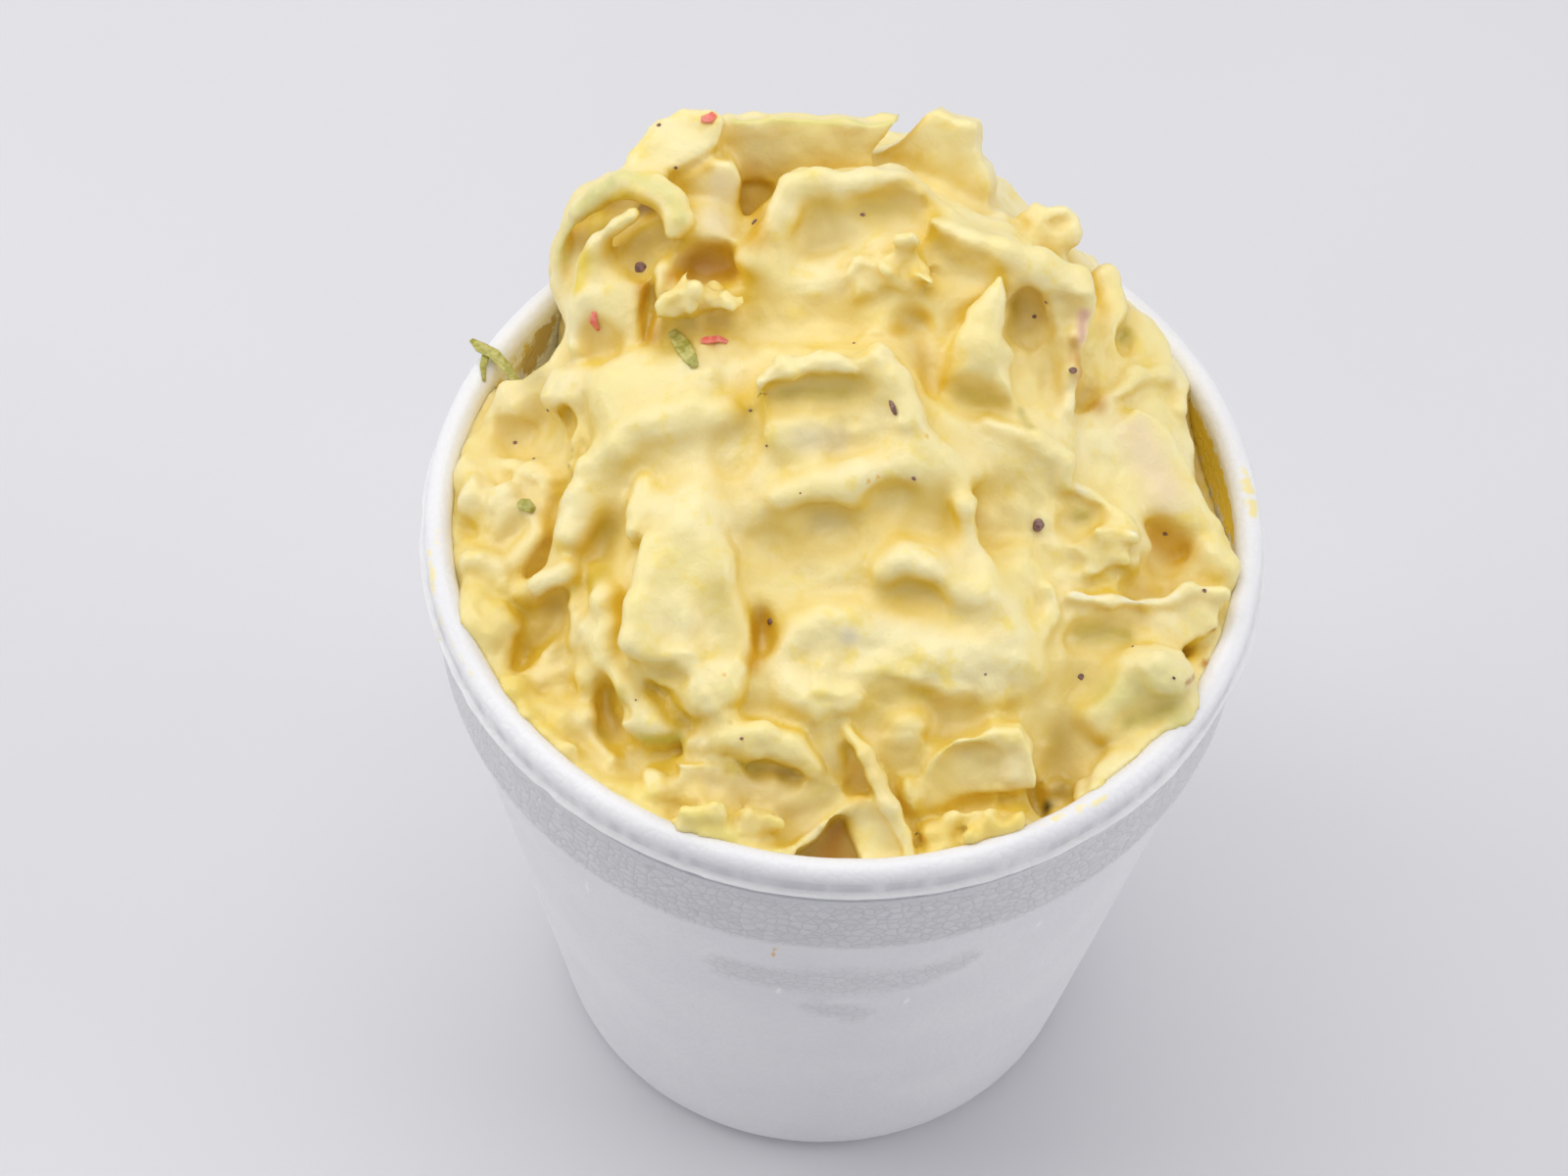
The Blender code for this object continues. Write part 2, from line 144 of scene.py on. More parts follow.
def turned_axes(turn, tilt, roll):
    """Rows are the axes of a shape turned about Z, then tilted about X, then rolled about Y."""
    a, b, c = np.radians([turn, tilt, roll])
    about_z = np.array([[np.cos(a), -np.sin(a), 0], [np.sin(a), np.cos(a), 0], [0, 0, 1]])
    about_x = np.array([[1, 0, 0], [0, np.cos(b), -np.sin(b)], [0, np.sin(b), np.cos(b)]])
    about_y = np.array([[np.cos(c), 0, np.sin(c)], [0, 1, 0], [-np.sin(c), 0, np.cos(c)]])
    return (about_z @ about_x @ about_y).T


def view_axes(px, py, turn=0, tip=0, lean=0):
    """Rows are across, up and towards the camera, as seen at a pixel. The shape is turned in the view,
    then its top edge tips back, then its right edge leans back."""
    toward = -pixel_ray(px, py)
    across = np.cross(UP, toward)
    across /= np.linalg.norm(across)
    up = np.cross(toward, across)
    a, b, c = np.radians([turn, tip, lean])
    across, up = across * np.cos(a) + up * np.sin(a), up * np.cos(a) - across * np.sin(a)
    up, toward = up * np.cos(b) - toward * np.sin(b), toward * np.cos(b) + up * np.sin(b)
    across, toward = across * np.cos(c) - toward * np.sin(c), toward * np.cos(c) + across * np.sin(c)
    return np.array([across, up, toward])


def soft_join(a, b, blend):
    """Smaller of two distances, rounded where they meet."""
    share = np.maximum(blend - np.abs(a - b), 0) / blend
    return np.minimum(a, b) - share * share * blend / 4


def inner_radius(height):
    """Inside radius of the cup's wall."""
    return RIM_RADIUS - LIP_WIDTH - WALL_SLOPE * (RIM_Z - LIP_WIDTH / 2 - height)


def start_distance(x, y, z):
    """Salad packed level in the cup."""
    wall = np.sqrt(x * x + y * y) - (inner_radius(z) - GAP)
    return np.maximum(wall, z - (RIM_Z - FILL_BELOW_RIM))


def between_corners(share, value_at):
    """Value inside cells of a grid, from those at their corners and the shares of the way along the axes."""
    total = 0
    for step in itertools.product((0, 1), repeat=3):
        weight = np.abs(1 - np.array(step) - share).prod(axis=1)
        total = total + weight * value_at(step)
    return total


class Field:
    """Signed distances on a grid, negative inside the salad."""

    def __init__(self, step):
        self.low = np.array(FIELD_LOW)
        self.step = step
        self.count = np.ceil((np.array(FIELD_HIGH) - self.low) / step).astype(int) + 1
        self.lines = [self.low[axis] + step * np.arange(self.count[axis]) for axis in range(3)]
        self.values = self.at_grid(start_distance, [slice(None)] * 3)

    def at_grid(self, shape, cut):
        grid = np.meshgrid(*[self.lines[axis][cut[axis]] for axis in range(3)], indexing="ij", sparse=True)
        size = [len(self.lines[axis][cut[axis]]) for axis in range(3)]
        return np.broadcast_to(shape(*grid), size).astype(np.float32).copy()

    def blend_in(self, solid, blend, carve=False):
        low, high, shape = solid
        cut = []
        for axis in range(3):
            first = math.floor((low[axis] - blend - FIELD_MARGIN - self.low[axis]) / self.step)
            last = math.ceil((high[axis] + blend + FIELD_MARGIN - self.low[axis]) / self.step) + 1
            cut.append(slice(min(max(first, 0), self.count[axis]), min(max(last, 0), self.count[axis])))
        cut = tuple(cut)
        old = self.values[cut]
        if not old.size:
            return
        new = self.at_grid(shape, cut)
        self.values[cut] = -soft_join(-old, new, blend) if carve else soft_join(old, new, blend)

    def read(self, points):
        """Distance at points, by linear steps between the grid's values."""
        place = np.clip((points - self.low) / self.step, 0, self.count - 1.001)
        corner = place.astype(int)
        share = place - corner
        return between_corners(share, lambda step: self.values[tuple((corner + step).T)])

    def normals(self, points, reach=0.5):
        slope = [self.read(points + reach * way) - self.read(points - reach * way) for way in np.eye(3)]
        slope = np.stack(slope, 1)
        return slope / np.maximum(np.linalg.norm(slope, axis=1, keepdims=True), 1e-9)

    def met_by(self, px, py):
        """First point inside the salad along the view through a pixel."""
        way = pixel_ray(px, py)
        points = CAMERA_PLACE + way * np.arange(SIGHT_START, SIGHT_END, SIGHT_STEP)[:, None]
        inside = (np.abs(points[:, :2]) < FIELD_HIGH[0]).all(1)
        inside &= (points[:, 2] > FIELD_LOW[2]) & (points[:, 2] < FIELD_HIGH[2])
        points = points[inside]
        return points[np.argmax(self.read(points) < 0)]


# Shapes for the fields. Each gives its lowest and highest corner and its distance at grid coordinates.

def local_grid(place, axes, x, y, z):
    away = (x - place[0], y - place[1], z - place[2])
    return [sum(axes[row][axis] * away[axis] for axis in range(3)) for row in range(3)]


def box_round(place, axes, sizes):
    reach = np.abs(np.asarray(axes).T * np.asarray(sizes)).sum(1)
    return np.array(place) - reach, np.array(place) + reach


def rounded(over_side, over_face, soft):
    outside = np.sqrt(np.maximum(over_side, 0) ** 2 + np.maximum(over_face, 0) ** 2)
    return outside + np.minimum(np.maximum(over_side, over_face), 0) - soft


def ellipsoid(place, sizes, axes):

    def shape(x, y, z):
        local = [part / size for part, size in zip(local_grid(place, axes, x, y, z), sizes)]
        near = np.sqrt(sum(part ** 2 for part in local))
        slope = np.sqrt(sum((part / size) ** 2 for part, size in zip(local, sizes)))
        return near * (near - 1) / np.maximum(slope, 1e-6)

    return *box_round(place, axes, sizes), shape


def block(place, sizes, axes, soft):
    """Box of half sizes with worn edges."""
    soft = min(soft, min(sizes) * 0.95)

    def shape(x, y, z):
        over = [np.abs(part) - (size - soft) for part, size in zip(local_grid(place, axes, x, y, z), sizes)]
        outside = np.sqrt(sum(np.maximum(part, 0) ** 2 for part in over))
        return outside + np.minimum(np.maximum(np.maximum(over[0], over[1]), over[2]), 0) - soft

    return *box_round(place, axes, sizes), shape


def plate(place, axes, outline, thick, soft):
    """Flat piece with a drawn outline, whose face lies in the plane of the first two axes."""

    def shape(x, y, z):
        across, up, toward = local_grid(place, axes, x, y, z)
        nearest = None
        inside = None
        for (ax, ay), (bx, by) in zip(outline, np.roll(outline, 1, axis=0)):
            share = ((across - ax) * (bx - ax) + (up - ay) * (by - ay)) / ((bx - ax) ** 2 + (by - ay) ** 2)
            share = np.clip(share, 0, 1)
            away = (across - ax - share * (bx - ax)) ** 2 + (up - ay - share * (by - ay)) ** 2
            nearest = away if nearest is None else np.minimum(nearest, away)
            crossed = ((ay > up) != (by > up)) & (across < (bx - ax) * (up - ay) / ((by - ay) or 1e-9) + ax)
            inside = crossed if inside is None else inside ^ crossed
        side = np.sqrt(nearest) * np.where(inside, -1, 1) + soft
        return rounded(side, np.abs(toward + thick / 2) - (thick / 2 - soft), soft)

    return *box_round(place, axes, (*np.abs(outline).max(0), thick)), shape


def rope(points, radii, blend=1.0):
    """Round run through points, with a radius at each."""
    points = np.array(points, float)

    def shape(x, y, z):
        total = None
        for a, b, start, end in zip(points, points[1:], radii, radii[1:]):
            way = b - a
            share = ((x - a[0]) * way[0] + (y - a[1]) * way[1] + (z - a[2]) * way[2]) / (way @ way)
            share = np.clip(share, 0, 1)
            away = [grid - a[axis] - share * way[axis] for axis, grid in enumerate((x, y, z))]
            distance = np.sqrt(sum(part ** 2 for part in away)) - (start + (end - start) * share)
            total = distance if total is None else soft_join(total, distance, blend)
        return total

    widest = max(radii)
    return points.min(0) - widest, points.max(0) + widest, shape


# Masses of the heap, close to the CAD part's: place and half sizes, lean of the far side, turn about Z
MASSES = {
    "mound": ((-1, 1, -3), (39.5, 46, 17.5), 16, 0),
    "middle": ((-2, 6, 3), (27, 18, 15), 14, 0),
    "left_shoulder": ((-18, 22, 2), (14, 14, 21), 0, 8),
    "left_shoulder_edge": ((-26, 30, 6.5), (8.5, 8, 12), 0, 10),
    "right_shoulder": ((8, 22, 2), (18, 14, 22), 0, -8),
    "back": ((-3, 33, 0.5), (24, 9, 20), 0, 0),
    "right_bank": ((29, 14, -5), (12, 18, 12), 0, 10),
}

# Low stretches of the heap, cut before the pieces are set in: place and half sizes, turn
LOW_FIELDS = {
    "left_field": ((-38.5, -3, 6.2), (6, 13, 4.6), -6),
    "front_left_field": ((-32.5, -24.5, 2), (5, 10, 6), 38),
    "right_back_low": ((23, 40, 15), (6.5, 8, 6.5), -30),
}

# Gaps between the heap and the cup's wall: place and half sizes, turn about Z
WALL_HOLLOWS = {
    "left_back_crevice": ((-36.6, 23.4, -1), (4.4, 6.6, 9), 34),
    "right_crevice": ((41.4, 11, -1), (3.0, 9.5, 6.0), 12),
    "left_shoulder_side": ((-37.5, 19.5, 4), (4.4, 8, 9), 30),
    "right_back_crevice": ((36, 29, 2), (3, 7, 8), 45),
    "back_dip": ((-18, 43, 1), (12, 4, 6), 20),
    "front_dark_gap": ((22.5, -33, -4), (1, 2.4, 3), 20),
}

# Salad drawn up against the wall: from and to in degrees, height of its middle, radius
FILLET_CIRCLE = 43.2
FILLET_STEP = 6
WALL_FILLETS = ((160, 262, -3.4, 1.9), (-74, -60, -3.4, 1.9), (-48, -12, -2.6, 2.0))

# Blocks set half into the heap's far side, as in the CAD part. Angles are in degrees.
BACK_SEED = 5
BACK_PIECES = 20
BACK_SPREAD = (34, 168)
BACK_RISE = (-4, 34)
BACK_DEPTH = 0.97
BACK_PIECE_SIZE = (2.6, 4.8)
BACK_PIECE_THICKNESS = 0.7
BACK_PIECE_SOFT = 1.6
BACK_TURN = 40

# Crumbs lie on a spiral with this turn in radians between them, which spreads them evenly
CRUMB_TURN = 2.4

# How far in front of the surface a notch starts
NOTCH_START = 2.0


def rim_place(place):
    return np.array([place[0], place[1], place[2] + RIM_Z], float)


def add_masses(field):
    for place, sizes, lean, turn in MASSES.values():
        field.blend_in(ellipsoid(rim_place(place), sizes, turned_axes(turn, lean, 0)), MASS_BLEND)
    for place, sizes, turn in LOW_FIELDS.values():
        field.blend_in(ellipsoid(rim_place(place), sizes, turned_axes(turn, 0, 0)), MASS_BLEND, carve=True)


class Heap:
    """The heap while it is built. Most shapes are placed by the pixel of the view where they show: rise is
    how far one stands out of the bare masses towards the camera, and height is its height above the rim."""

    def __init__(self):
        self.bare = Field(BARE_VOXEL)
        add_masses(self.bare)
        self.field = Field(VOXEL)
        add_masses(self.field)
        self.add_fillets()

    def add_fillets(self):
        """Salad drawn up against the wall, as low ridges round the inside of the cup."""
        for start, end, height, radius in WALL_FILLETS:
            points = []
            for around in np.radians(np.arange(start, end + 1, FILLET_STEP)):
                x, y = FILLET_CIRCLE * math.cos(around), FILLET_CIRCLE * math.sin(around)
                points.append(rim_place((x, y, height)))
            self.field.blend_in(rope(points, [radius] * len(points)), FILLET_BLEND)

    def placed(self, px, py, rise, height):
        if height is not None:
            return place_at(px, py, height)
        return self.bare.met_by(px, py) - pixel_ray(px, py) * rise

    def bump(self, at, size, rise=0.0, height=None, turn=0, tip=0, lean=0, blend=1.8):
        """Lump with half sizes across, up and in depth. Its nearest point stands at the rise."""
        place = self.placed(*at, rise - size[2], height)
        self.field.blend_in(ellipsoid(place, size, view_axes(*at, turn, tip, lean)), blend)

    def dent(self, at, size, turn=0, tip=0, lean=0, blend=2.4, out=0.3):
        """Hollow with half sizes across and up, and its depth in what has been built. Its middle stands off
        the surface by out, as a share of the depth."""
        place = self.field.met_by(*at) - pixel_ray(*at) * out * size[2]
        self.field.blend_in(ellipsoid(place, size, view_axes(*at, turn, tip, lean)), blend, carve=True)

    def slab(self, outline, rise=0.0, height=None, tip=0, lean=0, thick=5.0, soft=1.2, blend=1.4):
        """Piece whose face has an outline drawn in the view and leans with the plane of the face."""
        middle = np.mean(outline, axis=0)
        place = self.placed(*middle, rise, height)
        axes = view_axes(*middle, 0, tip, lean)
        corners = []
        for px, py in outline:
            way = pixel_ray(px, py)
            corner = CAMERA_PLACE + way * ((place - CAMERA_PLACE) @ axes[2]) / (way @ axes[2])
            corners.append(((corner - place) @ axes[0], (corner - place) @ axes[1]))
        self.field.blend_in(plate(place, axes, np.array(corners), thick, soft), blend)

    def notch(self, outline, depth=3.0, blend=0.5):
        """Hole with an outline drawn in the view, and its depth in what has been built."""
        middle = np.mean(outline, axis=0)
        place = self.field.met_by(*middle) - pixel_ray(*middle) * NOTCH_START
        axes = view_axes(*middle)
        size = ((place - CAMERA_PLACE) @ axes[2]) / -FOCAL_PIXELS
        corners = [((px - middle[0]) * size, (middle[1] - py) * size) for px, py in outline]
        hole = plate(place, axes, np.array(corners), depth + NOTCH_START, 0.4)
        self.field.blend_in(hole, blend, carve=True)

    def ridge(self, knots, blend=1.6):
        """Ridge on what has been built, through knots of px, py, lift of its middle and radius."""
        points = [self.field.met_by(px, py) - pixel_ray(px, py) * lift for px, py, lift, radius in knots]
        self.field.blend_in(rope(points, [knot[3] for knot in knots]), blend)

    def free_ridge(self, knots, blend=1.6):
        """Ridge through knots of px, py, height above the rim and radius."""
        points = [place_at(*knot[:3]) for knot in knots]
        self.field.blend_in(rope(points, [knot[3] for knot in knots]), blend)

    def crumbs(self, at, spread, count, size, seed, lift=0.0, blend=1.1):
        """Small lumps strewn over a patch: half spreads in pixels, radii in millimetres."""
        draw = random.Random(seed)
        for number in range(count):
            away = math.sqrt((number + 0.5) / count)
            around = number * CRUMB_TURN + draw.uniform(-0.5, 0.5)
            px = at[0] + spread[0] * away * math.cos(around)
            py = at[1] + spread[1] * away * math.sin(around)
            radius = draw.uniform(*size)
            place = self.field.met_by(px, py) - pixel_ray(px, py) * lift * radius
            sizes = [radius * draw.uniform(0.8, 1.3) for axis in range(3)]
            axes = turned_axes(draw.uniform(0, 180), draw.uniform(-40, 40), 0)
            self.field.blend_in(ellipsoid(place, sizes, axes), blend)

    def add_rows(self, rows):
        for kind, places, values in rows.values():
            getattr(self, kind)(*places, **values)

    def add_back(self):
        """Blocks and lumps on the far side, spread evenly round it."""
        place, half_sizes, lean, turn = MASSES["back"]
        draw = random.Random(BACK_SEED)
        for number in range(BACK_PIECES):
            share = (number + 0.5) / BACK_PIECES
            around = math.radians(BACK_SPREAD[0] + (BACK_SPREAD[1] - BACK_SPREAD[0]) * share)
            up = math.radians(draw.uniform(*BACK_RISE))
            way = (math.cos(around) * math.cos(up), math.sin(around) * math.cos(up), math.sin(up))
            centre = [place[axis] + half_sizes[axis] * way[axis] * BACK_DEPTH for axis in range(3)]
            size = draw.uniform(*BACK_PIECE_SIZE)
            sizes = (size, size * draw.uniform(BACK_PIECE_THICKNESS, 1), size * BACK_PIECE_THICKNESS)
            axes = turned_axes(*[draw.uniform(-BACK_TURN, BACK_TURN) for axis in range(3)])
            self.field.blend_in(block(rim_place(centre), sizes, axes, BACK_PIECE_SOFT), BACK_BLEND)

    def cut_wall_hollows(self):
        for place, sizes, turn in WALL_HOLLOWS.values():
            hollow = ellipsoid(rim_place(place), sizes, turned_axes(turn, 0, 0))
            self.field.blend_in(hollow, WALL_HOLLOW_BLEND, carve=True)


def piece(kind, *places, **values):
    """Row of the tables below: the method of Heap that builds the piece, and what that is given."""
    return kind, places, values


# The shown side's pieces by region, in the order in which they are built. Outlines and places are in pixels,
# sizes in millimetres. Bumps and dents have a place and half sizes, ridges have knots, slabs and notches an
# outline, and crumbs a place and a spread.
UPPER_LEFT = {
    "pale_block": piece("slab", [(656, 128), (668, 118), (690, 105), (727, 105), (740, 118), (731, 142),
        (704, 160), (688, 172), (652, 178), (634, 168), (640, 150)], height=26.5, tip=20, lean=-8,
        thick=5.5),
    "beige_face": piece("slab", [(680, 188), (700, 172), (725, 160), (748, 166), (758, 185), (760, 215),
        (752, 240), (728, 252), (702, 246), (686, 228)], height=21.8, tip=-14, soft=0.8, blend=1.0),
    "arch": piece("free_ridge", [(577, 320, 7, 1.7), (575, 290, 8.5, 1.4), (577, 250, 13.4, 1.2),
        (588, 218, 18.4, 1.2), (612, 196, 21.8, 1.4), (640, 186, 23.6, 1.6), (668, 192, 24.2, 1.8),
        (686, 208, 24.4, 1.7), (692, 226, 24, 1.6), (684, 243, 23, 1.4)], blend=1.2),
    "inner_rope": piece("free_ridge", [(592, 350, 12, 1.8), (597, 300, 15.6, 1.7), (601, 268, 17.6, 1.5),
        (612, 247, 20, 1.5), (628, 234, 22.2, 1.4), (646, 223, 23.6, 1.3)], blend=1.2),
    "curl_hollow": piece("dent", (622, 217), (3.3, 1.4, 2.2), turn=36, blend=1.4, out=0.1),
    "curl_hollow_low": piece("dent", (591, 254), (1.4, 4.8, 1.9), turn=-16, blend=1.4, out=0.1),
    "under_arch": piece("dent", (657, 251), (3.2, 1.4, 1.4), turn=8, blend=2.6),
    "seed_hollow": piece("dent", (645, 268), (1.8, 2.2, 1.4), blend=2.0),
    "shoulder_hollow": piece("dent", (726, 272), (4.6, 2.6, 4.4), blend=1.6, out=0.1),
    "slot": piece("dent", (660, 318), (0.9, 3.6, 2.4), turn=-3, blend=1.0, out=0),
    "torn_flake": piece("slab", [(664, 312), (672, 298), (684, 294), (691, 284), (699, 278), (703, 292),
        (712, 299), (722, 296), (731, 301), (741, 294), (748, 302), (758, 298), (763, 310), (748, 318),
        (715, 322), (690, 330), (668, 326)], rise=2.6, tip=4, thick=2.6, soft=0.3, blend=0.7),
    "torn_crumbs": piece("crumbs", (712, 308), (42, 14), count=12, size=(0.5, 0.9), seed=31, lift=0.2),
    "shoulder_flank": piece("bump", (628, 318), (3.4, 5.5, 3.5), rise=1.6, blend=2.5),
    "soft_slot": piece("dent", (613, 350), (1.3, 2.4, 1.0), blend=2.5),
    "cave": piece("notch", [(758, 165), (775, 168), (788, 190), (786, 215), (774, 240), (762, 244),
        (758, 215)], depth=2.2, blend=1.4),
}
TOP = {
    "top_slice": piece("slab", [(738, 123), (800, 121), (870, 123), (925, 122), (912, 136), (897, 150),
        (892, 190), (800, 190), (742, 186)], height=23.6, tip=-22, thick=3.2, soft=0.6, blend=1.0),
    "spiky_block": piece("slab", [(893, 157), (908, 150), (924, 143), (933, 129), (944, 116), (957, 112),
        (976, 123), (1002, 127), (1004, 138), (1000, 150), (1003, 167), (1013, 176), (1016, 196),
        (1010, 213), (985, 210), (950, 204), (910, 190)], height=21.5, tip=-14, lean=-6, soft=0.9,
        blend=1.2),
    "crest_body": piece("free_ridge", [(800, 216, 21, 2.4), (822, 196, 22.4, 3.0), (862, 196, 22.6, 3.0),
        (905, 194, 22.8, 3.0), (936, 214, 22.4, 2.6), (960, 246, 22, 2.6), (1010, 268, 21.4, 2.8),
        (1060, 284, 20, 2.8), (1092, 298, 18.2, 2.4)], blend=2.4),
    "crest": piece("free_ridge", [(757, 268, 21, 1.6), (770, 254, 21.6, 1.5), (786, 238, 22.4, 1.5),
        (799, 216, 24, 1.5), (810, 193, 25.4, 1.6), (838, 186, 25.8, 1.7), (860, 191, 25.4, 1.5),
        (882, 183, 26.2, 1.6), (918, 189, 25.8, 1.5), (938, 201, 25.4, 1.4), (950, 226, 25, 1.3),
        (990, 246, 24.4, 1.3), (1022, 255, 23.6, 1.3), (1060, 267, 22.4, 1.5), (1094, 281, 20.8, 1.6),
        (1104, 300, 18.8, 1.6)], blend=1.4),
    "crest_left_bump": piece("bump", (768, 268), (1.9, 2.2, 2.2), rise=2.6, blend=1.2),
    "under_crest_middle": piece("dent", (926, 214), (2.4, 2.2, 1.2), blend=3.0),
    "under_crest_right": piece("dent", (972, 272), (4.4, 2.0, 2.4), turn=-18),
    "brow": piece("bump", (836, 292), (8.0, 3.6, 4.0), rise=2.4, blend=3.0),
    "brow_left": piece("bump", (790, 262), (3.0, 4.6, 3.0), rise=2.4, turn=-10, blend=2.0),
    "under_crest": piece("bump", (848, 230), (5.0, 3.4, 3.4), rise=2.6, blend=2.8),
    "under_brow": piece("dent", (815, 336), (5.2, 1.4, 0.9), blend=3.4),
    "crumbly_face": piece("crumbs", (928, 270), (30, 30), count=26, size=(0.5, 1.0), seed=3, lift=0.2),
    "crumbly_left": piece("crumbs", (880, 285), (22, 18), count=9, size=(0.6, 1.0), seed=4),
    "corner_hollow": piece("dent", (931, 332), (2.2, 1.5, 2.6), turn=-28, blend=1.7),
    "corner_fall": piece("dent", (945, 372), (1.5, 3.6, 1.4), turn=12),
    "lens_piece": piece("bump", (996, 227), (4.4, 1.5, 2.2), height=19.6, turn=-16, blend=0.8),
    "bow": piece("slab", [(1040, 243), (1048, 224), (1064, 214), (1095, 214), (1110, 223), (1115, 238),
        (1108, 251), (1096, 258), (1098, 275), (1070, 270), (1046, 256)], height=17.8, tip=-6, lean=8,
        thick=4.2, soft=1.7, blend=0.9),
    "bow_crease": piece("dent", (1090, 226), (2.0, 0.5, 0.9), turn=24, blend=0.7),
}
UPPER_RIGHT = {
    "skin_wall": piece("bump", (1080, 352), (2.7, 8.0, 3.5), rise=2.8, turn=6, blend=2.2),
    "skin_edge": piece("ridge", [(1104, 296, 0.2, 1.4), (1104, 322, 0.2, 1.3), (1096, 352, 0.3, 1.3),
        (1090, 385, 0.3, 1.4), (1086, 420, 0, 1.4)], blend=1.4),
    "horn_hollow": piece("dent", (1046, 322), (2.0, 3.0, 3.2), turn=-8, blend=1.8),
    "horn": piece("free_ridge", [(1018, 284, 23.6, 0.7), (1014, 300, 22.6, 1.3), (1006, 322, 21.2, 1.7),
        (1000, 345, 20, 2.2)], blend=1.0),
    "barrel": piece("slab", [(972, 362), (982, 346), (1000, 340), (1018, 346), (1029, 366), (1036, 390),
        (1050, 414), (1050, 430), (1028, 434), (1000, 422), (976, 410), (968, 388)], rise=3.2, tip=-4,
        lean=8, thick=7, soft=2.4),
    "barrel_top": piece("bump", (1002, 358), (2.8, 2.0, 3.0), rise=4.4, turn=-10, blend=1.6),
    "barrel_under": piece("dent", (1006, 410), (3.6, 1.7, 1.6), turn=-18),
    "finger": piece("free_ridge", [(1128, 284, 12.6, 1.6), (1134, 312, 11.6, 1.6), (1130, 350, 10.4, 1.7)],
        blend=1.2),
    "behind_skin": piece("dent", (1112, 384), (1.2, 3.4, 2.0), turn=-18, blend=1.8),
    "olive_hollow": piece("dent", (1148, 346), (0.9, 1.8, 1.4), blend=1.6),
    "bank_lump": piece("bump", (1160, 352), (3.2, 4.6, 3.0), rise=0.8, turn=38, blend=2.0),
    "bank_bead": piece("bump", (1184, 374), (1.3, 1.2, 1.2), rise=1.6, blend=0.8),
    "bank_arch": piece("ridge", [(1140, 402, 0.3, 1.2), (1158, 386, 0.5, 1.3), (1184, 386, 0.5, 1.3),
        (1202, 396, 0.4, 1.3), (1203, 420, 0.2, 1.2)], blend=1.0),
}
RIGHT_SIDE = {
    "right_block": piece("slab", [(1158, 412), (1184, 426), (1197, 445), (1212, 470), (1236, 515),
        (1258, 550), (1232, 566), (1190, 545), (1150, 528), (1108, 505), (1108, 478), (1128, 440)],
        height=7.2, tip=12, lean=20, soft=0.9, blend=1.1),
    "right_pit": piece("dent", (1190, 556), (2.8, 2.2, 1.8), turn=-25, blend=3.4, out=0.2),
    "rim_block": piece("bump", (1240, 578), (2.6, 3.4, 3.0), height=0.5, turn=12, blend=1.6),
    "rim_fill": piece("bump", (1214, 592), (3.0, 2.2, 3.0), height=-0.6, blend=2.0),
    "crumbly_block": piece("bump", (1130, 552), (4.4, 5.0, 4.0), rise=2.2, turn=-16, tip=8),
    "crumbly_edge": piece("ridge", [(1098, 494, 0.2, 0.8), (1125, 510, 0.3, 0.9), (1160, 540, 0.2, 0.9)],
        blend=0.9),
    "crumbly_hollow": piece("dent", (1105, 528), (2.0, 1.5, 1.4), blend=2.0),
    "crumbly_skin": piece("crumbs", (1132, 565), (34, 32), count=14, size=(0.6, 1.1), seed=8),
    "right_slab": piece("slab", [(1090, 600), (1125, 607), (1165, 610), (1200, 605), (1216, 592),
        (1254, 600), (1246, 640), (1208, 660), (1150, 655), (1098, 645)], height=3.4, tip=6, lean=16,
        soft=0.9, blend=1.3),
    "right_slab_edge": piece("ridge", [(1092, 606, 0.2, 1.0), (1125, 612, 0.5, 0.9), (1165, 614, 0.5, 0.8),
        (1200, 609, 0.5, 0.8), (1216, 598, 0.4, 0.8), (1248, 606, 0.3, 0.9)], blend=0.9),
    "under_slab": piece("dent", (1124, 648), (4.2, 1.7, 2.2), turn=4),
    "leaning_block": piece("slab", [(1096, 705), (1112, 682), (1142, 662), (1176, 650), (1206, 658),
        (1222, 688), (1229, 720), (1222, 746), (1196, 760), (1160, 764), (1124, 752), (1100, 735)],
        height=2.2, tip=4, lean=6, thick=8, soft=3.0),
    "leaning_top": piece("bump", (1186, 684), (3.6, 2.4, 3.0), height=3.4, turn=-20, blend=1.6),
    "leaning_fold": piece("dent", (1172, 731), (3.0, 1.2, 1.3), turn=22, blend=2.2),
    "leaning_side": piece("dent", (1112, 690), (1.6, 2.2, 1.2), blend=2.7),
    "right_plate": piece("bump", (1045, 462), (5.6, 4.4, 4.0), rise=1.6, turn=-12, tip=12, blend=2.6),
    "plate_edge": piece("ridge", [(1010, 432, 0.1, 1.2), (1050, 446, 0.2, 1.3), (1086, 468, 0.3, 1.2),
        (1088, 492, 0.2, 1.0)], blend=1.2),
    "plate_foot": piece("dent", (1020, 530), (4.0, 2.0, 0.8), turn=-10, blend=4.1),
    "field_lump": piece("bump", (1040, 590), (2.4, 3.6, 2.4), rise=0.6, blend=2.0),
    "field_streak": piece("ridge", [(1068, 600, 0.1, 0.8), (1072, 622, 0.2, 0.9), (1060, 645, 0, 0.9)],
        blend=1.2),
}
